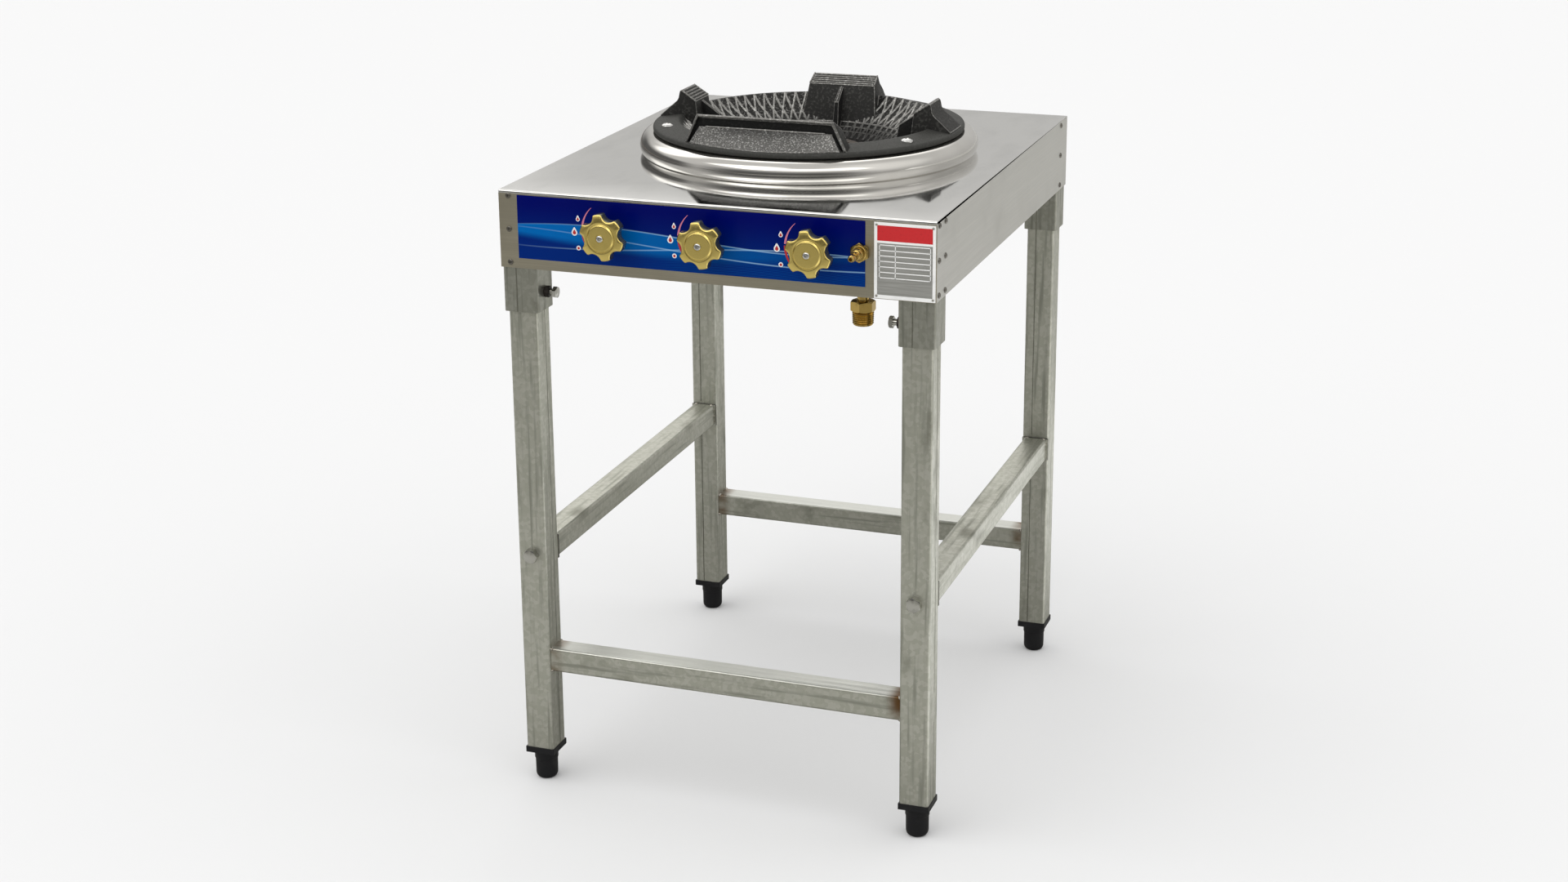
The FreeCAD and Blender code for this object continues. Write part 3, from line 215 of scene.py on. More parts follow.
# %% A finish: one shader and what is laid over it
class Finish(Patterns):
    """A material built from a base colour, patterns painted over it, and relief."""

    def __init__(self, name, colour, metal, rough, **sockets):
        super().__init__(name)
        self.shader = self.tree.nodes["Principled BSDF"]
        self.shader.inputs["Base Color"].default_value = (*colour, 1)
        self.shader.inputs["Metallic"].default_value = metal
        self.shader.inputs["Roughness"].default_value = rough
        for socket, value in sockets.items():
            self.shader.inputs[socket.replace("_", " ")].default_value = value
        self.colour = None
        self.relief = None
        self.start = colour

    def paint(self, mask, colour):
        """Lay a colour over what is there, where the mask is 1."""
        node = self.tree.nodes.new("ShaderNodeMix")
        node.data_type = "RGBA"
        under, over = node.inputs[6], node.inputs[7]
        self.tree.links.new(mask.socket, node.inputs[0])
        if self.colour:
            self.tree.links.new(self.colour, under)
        else:
            under.default_value = (*self.start, 1)
        over.default_value = (*colour, 1)
        self.colour = node.outputs[2]
        self.tree.links.new(self.colour, self.shader.inputs["Base Color"])
        return self

    def vary(self, socket, field, low, high):
        """Take a socket from low to high as the field goes from 0.3 to 0.7, where most grain lies."""
        node = self.tree.nodes.new("ShaderNodeMapRange")
        for place, value in enumerate((field, 0.3, 0.7, low, high)):
            field.feed(node, place, value)
        self.tree.links.new(node.outputs["Result"], self.shader.inputs[socket])
        return self

    def emboss(self, field, strength, depth_mm):
        """Raise relief on top of the relief that is there."""
        node = self.tree.nodes.new("ShaderNodeBump")
        node.inputs["Strength"].default_value = strength
        node.inputs["Distance"].default_value = depth_mm * MM
        self.tree.links.new(field.socket, node.inputs["Height"])
        if self.relief:
            self.tree.links.new(self.relief, node.inputs["Normal"])
        self.relief = node.outputs["Normal"]
        self.tree.links.new(self.relief, self.shader.inputs["Normal"])
        return self


print("finishes are made from fields")

# %% [markdown]
# Stainless sheet comes in two looks on this range. The top is polished almost to a mirror and still
# shows the waves of thin sheet; the sides are satin, with fine rolling lines that run level. Real
# scratches could be modelled, but they are thinner than a hair, so relief in the shader is enough.
# The front sheet is the same satin, a little darker and warmer.

# %% Stainless sheet
polished = Finish("polished_steel", (0.78, 0.78, 0.77), 1, 0.07)
waves = polished.grain(5, detail=2, twist=0.6)
smears = polished.grain(26, stretch=(1, 0.4, 1), detail=5)
polished.emboss(waves, 0.10, 3).vary("Roughness", smears, 0.045, 0.11)
polished.paint(smears.step(0.45, 0.75), (0.70, 0.70, 0.69))


def satin_sheet(name, tint):
    """Satin steel whose colours are all multiplied by a tint."""
    base, shiny, dull = (
        tuple(share * part for share, part in zip(colour, tint))
        for colour in ((0.60, 0.595, 0.57), (0.67, 0.665, 0.64), (0.55, 0.545, 0.52))
    )
    satin = Finish(name, base, 1, 0.34)
    rolling = satin.grain(1, stretch=(9, 9, 900), detail=3)
    patches = satin.grain(9, detail=3)
    satin.paint(rolling.step(0.35, 0.7), shiny).paint(patches.step(0.5, 0.8), dull)
    satin.vary("Roughness", rolling, 0.29, 0.41).emboss(rolling, 0.08, 0.2)
    return satin.material


SATIN = satin_sheet("satin_steel", (1, 1, 1))
WARM_SATIN = satin_sheet("warm_satin_steel", (0.78, 0.73, 0.61))
print("sheet finishes:", polished.material.name, SATIN.name, WARM_SATIN.name)

# %% [markdown]
# The legs and rails are galvanised tube: zinc crystals, streaks drawn along the tube by the rollers,
# and dull stains. The streaks have to follow each tube, so the same recipe is mixed three times with
# its grain stretched along a different axis. Near the ends of the rails the weld has browned the zinc.
# The sockets under the box are the same steel in darker colours, and the tops of the low rails are
# painted paler as painted highlight.

# %% Galvanised tube
ALONG = {"x": (0.05, 1, 1), "y": (1, 0.05, 1), "z": (1, 1, 0.05)}


def galvanised(name, axis, shade=1.0):
    """Zinc-coated tube drawn along an axis; a shade below 1 makes all its colours darker."""
    fresh, drawn_dark, pale_flake, stain = (
        tuple(shade * share for share in colour)
        for colour in ((0.47, 0.475, 0.41), (0.34, 0.345, 0.295), (0.55, 0.55, 0.49), (0.24, 0.24, 0.195))
    )
    zinc = Finish(name, fresh, 0.92, 0.4)
    drawn = zinc.grain(170, stretch=ALONG[axis], detail=5)
    stains = zinc.grain(17, stretch=tuple(0.5 + share / 2 for share in ALONG[axis]), detail=6)
    flakes = zinc.crystals(210)
    zinc.paint(flakes.step(0.2, 0.9), pale_flake).paint(drawn.step(0.5, 0.72), drawn_dark)
    zinc.paint(stains.step(0.58, 0.74), stain)
    if axis == "x":
        reach = LEGS["front_right"].x - LEG_HALF
        from_middle = zinc.place()[0].size()
        scorched = from_middle.step((reach - 22) * MM, (reach - 3) * MM) * stains.step(0.35, 0.6)
        # Painted highlight: the upward faces of these rails are painted paler.
        zinc.paint(zinc.upward() * 0.8, (0.64, 0.65, 0.62)).paint(scorched, (0.14, 0.075, 0.03))
    zinc.vary("Roughness", drawn, 0.3, 0.5).emboss(drawn, 0.12, 0.3).emboss(stains, 0.1, 0.4)
    return zinc.material


GALVANISED = {axis: galvanised(f"galvanised_along_{axis}", axis) for axis in ALONG}
SOCKET_STEEL = galvanised("socket_steel", "z", 0.74)
print("galvanised finishes:", sorted(GALVANISED), SOCKET_STEEL.name)

# %% [markdown]
# The fire bowl and burner are sand castings, painted charcoal. Sand leaves a pitted skin that glints
# where it catches the light. A mesh fine enough for every grain would be huge, so two sizes of grain
# go into the relief, and the same grains brighten and dull the paint. The flange is filed smooth, and
# the walls are glossier than the lugs, with paler specks that are partly painted sheen. Edges are
# partly rubbed and partly painted highlight, the ribs are painted pale as painted highlight, the fins
# and the front wall under the lip are painted near black as painted shade, and the lower part of the
# bowl is painted darker towards the bottom.

# %% Cast iron
def cast_iron(name, colour, worn, rough, metal=0.1, relief=1.0, pit_scale=300, darker_low=False):
    iron = Finish(name, colour, metal, rough, Specular_IOR_Level=0.25)
    sand = iron.grain(800, detail=3)
    pits = iron.grain(pit_scale, detail=5)
    iron.paint(pits.step(0.5, 0.67), worn).vary("Roughness", sand, rough - 0.12, rough + 0.14)
    iron.emboss(pits, 0.35 * relief, 0.9).emboss(sand, 0.5 * relief, 0.6)
    # Paint the iron darker towards the bottom of the bowl.
    if darker_low:
        depth = iron.place()[2].step((FLANGE - 12) * MM, (FLANGE - 34) * MM)
        iron.paint(depth * 0.85, (0.012, 0.0115, 0.011))
    return iron.material


IRON = cast_iron("cast_iron", (0.017, 0.0165, 0.015), (0.045, 0.044, 0.04), 0.5)
SMOOTH_IRON = cast_iron("smooth_iron", (0.037, 0.037, 0.033), (0.049, 0.048, 0.044), 0.6, relief=0.3)
# The wall iron is glossier than the lugs; its paler specks are partly painted sheen.
WALL_SHEEN_IRON = cast_iron(
    "wall_sheen_iron", (0.026, 0.0255, 0.024), (0.17, 0.167, 0.16), 0.4, metal=0.55, relief=1.2, darker_low=True
)
# The ribs and rope rings are painted pale as painted highlight.
ROPE_HIGHLIGHT_IRON = cast_iron("rope_highlight_iron", (0.33, 0.325, 0.308), (0.58, 0.57, 0.55), 0.34, metal=0.7, darker_low=True)
# Paler iron for edges and ridges: partly rubbed, partly painted highlight.
EDGE_IRON = cast_iron("edge_iron", (0.18, 0.176, 0.166), (0.38, 0.375, 0.36), 0.36, metal=0.7)
PANEL_IRON = cast_iron(
    "panel_iron", (0.12, 0.118, 0.112), (0.42, 0.415, 0.40), 0.36, metal=0.65, relief=1.0, pit_scale=520
)
# Painted shade: near-black iron for the fins and for the front wall under the lip.
SHADE_IRON = cast_iron("shade_iron", (0.007, 0.007, 0.0065), (0.014, 0.0135, 0.0125), 0.7)
BURNER_IRON = cast_iron("burner_iron", (0.06, 0.052, 0.045), (0.11, 0.075, 0.05), 0.55)
CASTING_SKINS = [IRON, SMOOTH_IRON, EDGE_IRON, WALL_SHEEN_IRON, PANEL_IRON, SHADE_IRON, ROPE_HIGHLIGHT_IRON]
PLAIN, FILED, RUBBED_AND_HIGHLIT, WALL, TRAY, SHADED, ROPED = range(len(CASTING_SKINS))
print("castings:", [skin.name for skin in CASTING_SKINS], BURNER_IRON.name)

# %% [markdown]
# Small hardware has its own metals: bright screws, zinc bolts, brass gas fittings, blackened nuts. They
# differ in colour and gloss, and all have the faint uneven skin that turning or plating leaves. One
# recipe with different numbers keeps them a family. The ring also shows fine lines from the lathe, and
# the feet are black moulded plastic.

# %% Small metals
def plain_metal(name, colour, rough, marks_scale=90, relief=0.06, metal=1.0):
    finish = Finish(name, colour, metal, rough)
    marks = finish.grain(marks_scale, detail=5)
    dull = tuple(0.72 * share for share in colour)
    finish.paint(marks.step(0.5, 0.8), dull).vary("Roughness", marks, 0.75 * rough, 1.35 * rough)
    finish.emboss(marks, relief, 0.3)
    return finish.material


BRIGHT = plain_metal("bright_nut", (0.70, 0.70, 0.69), 0.18)
ZINC = plain_metal("bolt_zinc", (0.56, 0.555, 0.52), 0.15)
BRASS = plain_metal("brass", (0.60, 0.42, 0.13), 0.16)
BLACKENED = plain_metal("black_nut", (0.035, 0.03, 0.027), 0.42, relief=0.4, metal=0.7)
SCREW = plain_metal("small_screw", (0.20, 0.19, 0.17), 0.32)
PIPE = plain_metal("gas_pipe", (0.40, 0.40, 0.37), 0.4, marks_scale=40, relief=0.15)
BURNER_STEEL = plain_metal("burner_steel", (0.42, 0.40, 0.36), 0.36, marks_scale=40, relief=0.1)
WELD = plain_metal("weld_metal", (0.55, 0.52, 0.47), 0.2, marks_scale=300, relief=0.3)
SEAM = plain_metal("seam_metal", (0.24, 0.24, 0.205), 0.36, marks_scale=300, relief=0.3)
# Painted shade: dark edges of the rail end plates stand for the shaded gap at the leg.
PLATE_EDGE_SHADE = plain_metal("plate_edge_shade", (0.05, 0.046, 0.04), 0.42, relief=0.3, metal=0.7)
print("small metals:", BRIGHT.name, ZINC.name, BRASS.name, BLACKENED.name, WELD.name)

# %% Polished ring and foot plastic
chrome = Finish("chrome_ring", (0.76, 0.745, 0.715), 1, 0.09)
lathe_lines = chrome.grain(1, stretch=(8, 8, 1400), detail=3)
chrome.paint(chrome.grain(7, detail=3).step(0.5, 0.75), (0.66, 0.645, 0.615))
chrome.vary("Roughness", lathe_lines, 0.06, 0.13).emboss(lathe_lines, 0.06, 0.15)

plastic = Finish("foot_plastic", (0.009, 0.009, 0.01), 0, 0.42, Specular_IOR_Level=0.22)
moulded = plastic.grain(900, detail=2)
plastic.emboss(moulded, 0.15, 0.2).vary("Roughness", plastic.grain(60), 0.34, 0.52)
plastic.paint(plastic.grain(40).step(0.5, 0.75), (0.016, 0.016, 0.016))
print("ring and feet:", chrome.material.name, plastic.material.name)

# %% [markdown]
# Now the wardrobe is full, every solid of the range can wear its finish. A solid whose shape is right
# stays as it is and only changes its material. The list goes from node names to finishes, and later
# cells replace some of these solids by finer shapes.

# %% Dress the solids
WEARS = {
    "top_panel": polished.material, "rail_end_plates": GALVANISED["z"],
    "front_rail": GALVANISED["x"], "rear_rail": GALVANISED["x"],
    "side_rail_left": GALVANISED["y"], "side_rail_right": GALVANISED["y"],
    "wok_support": IRON, "burner_core": BURNER_IRON, "burner_ring": BURNER_IRON, "burner_bracket": PIPE,
    "gas_manifold": PIPE, "trim_ring": chrome.material, "gas_inlet": BRASS, "lighter_nipple": BRASS,
    "gas_jets": BRASS, "pilot_burner": BRASS, "thermocouple": BRASS, "valve_nuts": BRIGHT,
    "support_screws": BRIGHT, "panel_screws": SCREW, "rail_bolts": ZINC, "rail_nuts": ZINC,
    "clamp_screws": ZINC, "clamp_nuts": BLACKENED, "foot_plugs": plastic.material,
}
for side in ("front", "back", "left", "right"):
    WEARS[f"{side}_panel"] = WARM_SATIN if side == "front" else SATIN
for corner in CORNERS:
    WEARS[f"leg_{corner}"] = GALVANISED["z"]
    WEARS[f"leg_socket_{corner}"] = SOCKET_STEEL
    WEARS[f"levelling_foot_{corner}"] = plastic.material
for name in KNOBS:
    WEARS[f"valve_body_{name}"] = BRASS
    WEARS[f"valve_plug_{name}"] = BRASS
    WEARS[f"spindle_{name}"] = BRIGHT
for name in ("outer", "core"):
    WEARS[f"mixing_tube_{name}"] = BURNER_STEEL
    WEARS[f"air_shutter_{name}"] = BURNER_STEEL


def wear(thing, *materials):
    thing.data.materials.clear()
    for material in materials:
        thing.data.materials.append(material)


for node, material in WEARS.items():
    wear(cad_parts[node], material)
print("dressed solids:", len(WEARS), "of", len(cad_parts))

# %% [markdown]
# New shapes need a few workshop tools. A lathe turns an outline round an axis, and lets the radius
# change with the angle, so it also makes hexagons and star knobs. A loft skins one outline after
# another, rounds the sharp edges and so makes blocks and bars. Modifiers could do the same, but points
# made in code stay exact. A mark is the number of the material that a face wears.

# %% A lathe
TURNS = {
    "z": Matrix.Identity(4),
    "y": Matrix.Rotation(-math.pi / 2, 4, "X"),
    "-y": Matrix.Rotation(math.pi / 2, 4, "X"),
    "x": Matrix.Rotation(math.pi / 2, 4, "Y"),
    "-x": Matrix.Rotation(-math.pi / 2, 4, "Y"),
}


def facing(direction, x, y, z):
    """A place whose own upward axis points in the direction."""
    return Matrix.Translation((x, y, z)) @ TURNS[direction]


def bridge(mesh, lower, upper, mark):
    """Skin the gap between two rings; a ring of one point makes a cap."""
    faces = []
    for step in range(max(len(lower), len(upper))):
        around = ((lower, 0), (lower, 1), (upper, 1), (upper, 0))
        corners = [ring[(step + ahead) % len(ring)] for ring, ahead in around]
        faces.append(mesh.faces.new(list(dict.fromkeys(corners))))
        faces[-1].material_index = mark
    return faces


def turn_on_lathe(mesh, rows, place, segments, marks=(), closed=False):
    """Rows of (radius, height); either may be a function of the angle."""
    rings = []
    for radius, height in rows:
        if radius == 0:
            rings.append([mesh.verts.new(place @ Vector((0, 0, height)))])
            continue
        ring = []
        for step in range(segments):
            angle = math.tau * step / segments
            reach = radius(angle) if callable(radius) else radius
            rise = height(angle) if callable(height) else height
            point = Vector((reach * math.cos(angle), reach * math.sin(angle), rise))
            ring.append(mesh.verts.new(place @ point))
        rings.append(ring)
    if closed:
        rings.append(rings[0])
    for number, (lower, upper) in enumerate(zip(rings, rings[1:])):
        bridge(mesh, lower, upper, marks[number] if marks else 0)


print("the lathe can face", ", ".join(TURNS))

# %% A loft
def loft(mesh, rows, mark=0, edge=0.0, edge_mark=-1):
    """Skin rows of points one after another, cap both ends and ease the sharp edges."""
    rings = [[mesh.verts.new(point) for point in row] for row in rows]
    skin = []
    for lower, upper in zip(rings, rings[1:]):
        skin += bridge(mesh, lower, upper, mark)
    for ring in (rings[0], rings[-1]):
        skin.append(mesh.faces.new(ring))
        skin[-1].material_index = mark
    if edge:
        bmesh.ops.recalc_face_normals(mesh, faces=skin)
        lines = dict.fromkeys(line for face in skin for line in face.edges)
        sharp = [line for line in lines if line.calc_face_angle(0) > 0.5]
        bmesh.ops.bevel(
            mesh, geom=sharp, offset=edge, segments=2, profile=0.6, affect="EDGES",
            clamp_overlap=True, material=edge_mark,
        )


print("a loft makes blocks, bars and beads from rows of points")

# %% A finished piece
def finished(mesh, name, materials, body="range", stands_for=(), sharp=38):
    """Scale a shape from millimetres, shade it and let it ride on a body."""
    bmesh.ops.recalc_face_normals(mesh, faces=mesh.faces)
    mesh.transform(Matrix.Scale(MM, 4))
    data = bpy.data.meshes.new(name)
    for material in materials:
        data.materials.append(material)
    mesh.to_mesh(data)
    mesh.free()
    piece = bpy.data.objects.new(name, data)
    scene.collection.objects.link(piece)
    data.shade_smooth()
    data.set_sharp_from_angle(angle=math.radians(sharp))
    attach(piece, body)
    if stands_for:
        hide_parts(*stands_for)
    print(name, len(data.polygons), "faces on", body)
    return piece


# %% [markdown]
# The ring round the fire is a strip of stainless rolled to one fat bulge and polished. A mirror shows
# every flat facet of a coarse mesh, so it is turned afresh with many steps round and along the bulge.
# Its lower edge stands on the deck, and its flat inner part carries the casting.

# %% Turn the trim ring
BULGE = 17
BULGE_LEVEL = 12
BULGE_CENTRE = 205
BULGE_STEPS = 30
RING_SHEET = 1.2
RING_MOUTH = 182


def bulge_points(radius):
    """Points from the deck round the outside of the bulge to its crown."""
    low = -math.asin(BULGE_LEVEL / radius)
    angles = [low + (math.pi / 2 - low) * step / BULGE_STEPS for step in range(BULGE_STEPS + 1)]
    return [(BULGE_CENTRE + radius * math.cos(a), BULGE_LEVEL + radius * math.sin(a)) for a in angles]


ring_mesh = bmesh.new()
outside = bulge_points(BULGE)
inside = bulge_points(BULGE - RING_SHEET)
crown = BULGE_LEVEL + BULGE
ring_rows = outside + [(RING_MOUTH, crown), (RING_MOUTH, crown - RING_SHEET)] + inside[::-1]
turn_on_lathe(ring_mesh, ring_rows, facing("z", FIRE.x, FIRE.y, DECK), segments=240, closed=True)
finished(ring_mesh, "polished_trim_ring", [chrome.material], stands_for=["trim_ring"])

# %% [markdown]
# The fire bowl is one iron casting: a flange that rises a little towards the mouth, a cone that narrows
# to the burner, and four lugs that carry a round-bottomed wok. It is built as a caster's pattern is,
# from simple blocks with eased edges that run into each other. The flange and cone are turned, and from
# one side lug round the back to the other a swept rim raises the wall. Heights are counted from the
# outer edge of the flange's top.

# %% Cast the bowl
MOUTH = 168
THROAT = 104
BOWL_DEPTH = 47
RIM_RADIUS = 171
RIM_RISE = 7.5
RIM_STEEPNESS = 1.2
ABOUT_FIRE = facing("z", FIRE.x, FIRE.y, FLANGE)


def on_wall(radius):
    """Height of the cone's inner face at a radius."""
    return (radius - MOUTH) * BOWL_DEPTH / (MOUTH - THROAT)


def round_fire(radius, degrees, height):
    angle = math.radians(degrees)
    return ABOUT_FIRE @ Vector((radius * math.cos(angle), radius * math.sin(angle), height))


casting = bmesh.new()
flange_rows = [
    (199.4, -8), (203, -6.4), (204, -5), (204, -2.4), (203.3, -0.8), (201.6, 0.2), (200, 0.5), (172.5, 5),
    (170, 5), (168.2, 4), (166.8, 2.2),
]
wall_rows = [(160, on_wall(160)), (104.6, -46), (104, -47.4), (104.8, -49.4), (112, -51), (176, -8)]
bowl_rows = flange_rows + wall_rows
bowl_marks = [FILED] * len(flange_rows) + [WALL] + [PLAIN] * (len(wall_rows) - 1)
turn_on_lathe(casting, bowl_rows, ABOUT_FIRE, segments=180, marks=bowl_marks, closed=True)
rim_outline = [
    (RIM_RADIUS - 0.6, RIM_RISE - 0.8), (RIM_RADIUS + 0.4, RIM_RISE), (175, RIM_RISE), (176, RIM_RISE - 1),
    (176, -3), (168, -6), (154, on_wall(154) - 2.6),
]
rim_rows = [[round_fire(r, degrees, h) for r, h in rim_outline] for degrees in range(-4, 186, 2)]
loft(casting, rim_rows, mark=WALL)
print("bowl rows:", len(bowl_rows), "rim raised", RIM_RISE, "mm")

# %% [markdown]
# A lug is a block whose outline is nearly the same all along its width, so the outline is drawn once
# and carried from one side to the other, spreading towards its foot and never past the flange. Ridges
# across the sloping saddle stop the wok from slipping; they are thin bars that lie half in the iron.

# %% Carry outlines and beads beside the fire
LUG_TOP = 37
LUG_LIMIT = 201


def spread(foot_half, top_half, count=2):
    """Stations across a lug: the place of its foot and of its top, from one side to the other."""
    shares = [2 * number / (count - 1) - 1 for number in range(count)]
    return [(foot_half * share, top_half * share) for share in shares]


def lug(turn_degrees, outline, stations, low=0.0, edge=1.1, mark=PLAIN):
    """Carry an outline of (reach, height) through the stations of a block beside the fire."""
    turn = ABOUT_FIRE @ Matrix.Rotation(math.radians(turn_degrees), 4, "Z")
    rows = []
    for foot, top in stations:
        row = []
        for reach, height in outline:
            aside = foot + (top - foot) * (height - low) / (LUG_TOP - low)
            row.append(turn @ Vector((min(reach, math.sqrt(LUG_LIMIT**2 - aside**2)), aside, height)))
        rows.append(row)
    # The eased edges wear the paler edge iron: partly rubbed, partly painted highlight.
    loft(casting, rows, mark, edge, edge_mark=RUBBED_AND_HIGHLIT)


def bent_bar(mesh, path, radius, mark, knots=0.0):
    """A thin six-sided bar along a path of points, knotted like a rope if asked."""
    angles = [math.tau * side / 6 for side in range(6)]
    rows = []
    for number, point in enumerate(path):
        ahead = path[min(number + 1, len(path) - 1)] - path[max(number - 1, 0)]
        spot = Matrix.Translation(point) @ ahead.to_track_quat("Z", "Y").to_matrix().to_4x4()
        reach = radius * (1 + knots * (-1) ** number)
        rows.append([spot @ Vector((reach * math.cos(a), reach * math.sin(a), 0)) for a in angles])
    loft(mesh, rows, mark)


def bead(turn_degrees, *points):
    """An edge bar of the casting, partly rubbed and partly painted highlight, from places (reach, aside,
    height) beside the fire.
    """
    turn = ABOUT_FIRE @ Matrix.Rotation(math.radians(turn_degrees), 4, "Z")
    bent_bar(casting, [turn @ Vector(point) for point in points], 1.2, RUBBED_AND_HIGHLIT)


print("lugs stay within", LUG_LIMIT, "mm of the middle and", LUG_TOP, "mm above the flange")

# %% Add the lugs
RIGHT_LUG, BACK_LUG, LEFT_LUG, FRONT_LUG = 0, 91.3, 180, 270
LUG_APEX = 36.6
BACK_APEX = 33.6
SADDLE_FOOT = 23.5
RIDGES = 5
LUG_ROOT = (130, on_wall(130) - 2.7)
STEEP_ROOT = (145, on_wall(145) - 2.7)


def tall_lug(turn_degrees, foot_half, top_half, apex, root):
    """A block with a sloping heel outside, a saddle on top and a face down to the bowl's wall."""
    heel = [(201, -3), (200, 2.2), (187, 13), (176.5, 22), (174.2, 26)]
    nose = [(172.6, apex - 2.2), (171.2, apex - 0.4)]
    saddle = [(169.8, apex), (151, 24.2), (149.6, 23)]
    outline = heel + nose + saddle + [root, (168, -6)]
    lug(turn_degrees, outline, spread(foot_half, top_half, 9), low=root[1])
    for side in (-1, 1):
        bead(turn_degrees, (169.8, side * top_half, apex - 0.4), (150, side * (top_half + 1), 23.4))


def ridges(turn_degrees, half, apex):
    """Bars across a saddle."""
    for ridge in range(RIDGES):
        share = (ridge + 0.5) / RIDGES
        reach, height = 150 + 20 * share, SADDLE_FOOT + (apex - SADDLE_FOOT) * share
        bead(turn_degrees, (reach, -half, height), (reach, half, height))


for turn_degrees in (RIGHT_LUG, LEFT_LUG):
    tall_lug(turn_degrees, 27, 22.5, LUG_APEX, STEEP_ROOT)
    ridges(turn_degrees, 22, LUG_APEX)
tall_lug(BACK_LUG, 53, 44.5, BACK_APEX, LUG_ROOT)
ridges(BACK_LUG, 44, BACK_APEX)
FRONT_WALL = [(167, -3), (167, 32.6), (170.6, 33.6), (171, 35.6), (169.9, 36.6), (150, 23.4), (150, -3)]
# The front wall under the lip is painted near black as painted shade.
lug(FRONT_LUG, FRONT_WALL, spread(105, 89), edge=0.8, mark=SHADED)
ridges(FRONT_LUG, 88, LUG_APEX)
print("four lugs with", 4 * RIDGES, "ridges")

# %% [markdown]
# The front lug is more than a block. Two thin gussets close its ends, and a sloping panel lies between
# them like a tray, its foot bent to the round rim of the flange. A plate stiffens its inner side, and
# an upright fin that of every lug. These are too small to need tools of their own: all of them are
# outlines carried across, only with other stations.

# %% Add the front panel, gussets and fins
PANEL = [(164, -3), (201, -3), (201, 0.7), (199.8, 1.5), (169.4, 21.3), (164, 21.3)]
lug(FRONT_LUG, PANEL, spread(100, 79, 25), edge=0.9, mark=TRAY)
for half, reach, height in ((79, 169.6, 21.4), (88, 171, 35.6)):
    bead(FRONT_LUG, (reach, -half, height), (reach, half, height))
GUSSET = [(152, -3), (175, -3), (175, 0.8), (172, 36.9), (168, 36.9), (152, 25)]
for side in (-1, 1):
    lug(FRONT_LUG, GUSSET, [(side * 104, side * 87), (side * 107.4, side * 90.4)], edge=0.9)
    bead(FRONT_LUG, (172.4, side * 88.6, 36.2), (171.6, side * 104.8, 1.4))
SKIRT = [(156, 17.5), (148.5, 17.5), LUG_ROOT, (168, -6)]
lug(FRONT_LUG, SKIRT, spread(39, 39), edge=1)
FIN = [(153, 20.5), (149, 20.5), (124, 3.5), (115, on_wall(115) - 3), (153, on_wall(153) - 3)]
for turn_degrees in (RIGHT_LUG, BACK_LUG, LEFT_LUG, FRONT_LUG):
    # Each fin is painted near black as painted shade.
    lug(turn_degrees, FIN, spread(4.2, 2.2), low=-40, edge=0.9, mark=SHADED)
    bead(turn_degrees, (149, 0, 20), (124.4, 0, 3.4))
print("casting faces so far:", len(casting.faces))

# %% [markdown]
# A lattice of ribs crosses the wall of the bowl and throws the bright diamonds that the photograph
# shows. Each rib is a slanting line on the wall, knotted like a rope. A texture could draw them, but
# they catch the light on their edges, so they are real bars that lie half in the iron. Three rope
# rings close the lattice at the foot of the wall.

# %% Add the lattice and keep the casting
RIBS = 72
LEAN_DEGREES = 8
RIB_STEPS = 16
ROPE_RADIUS = 1.6


def on_raised_wall(radius):
    """Height of the wall behind the side lugs, where the rim stands on the cone."""
    return max(on_wall(radius), RIM_RISE - RIM_STEEPNESS * (RIM_RADIUS - radius))


for number in range(RIBS):
    first_degrees = 360 * number / RIBS
    raised = first_degrees < 180
    top, height_at = (RIM_RADIUS - 0.6, on_raised_wall) if raised else (MOUTH - 2, on_wall)
    for lean in (-1, 1):
        path = []
        for step in range(RIB_STEPS + 1):
            share = step / RIB_STEPS
            radius = top + (THROAT + 5 - top) * share
            degrees = first_degrees + lean * LEAN_DEGREES * share
            path.append(round_fire(radius, degrees, height_at(radius) + 0.3))
        # Each rib wears the pale rope iron, a painted highlight.
        bent_bar(casting, path, ROPE_RADIUS, ROPED, knots=0.18)
# The rope rings wear the same painted highlight.
for radius in (133, 126, 119):
    path = [round_fire(radius, degrees, on_wall(radius) + 0.4) for degrees in range(0, 363, 3)]
    bent_bar(casting, path, ROPE_RADIUS, ROPED, knots=0.15)
finished(casting, "wok_support_casting", CASTING_SKINS, stands_for=["wok_support"], sharp=45)

# %% [markdown]
# Screws with a cross slot hold the knobs, the casting and the panels. Their slot is a real recess, cut
# out of a domed head by a boolean. Cutting every screw would be slow, so one head is cut for each size
# and the result is stamped wherever that screw sits.

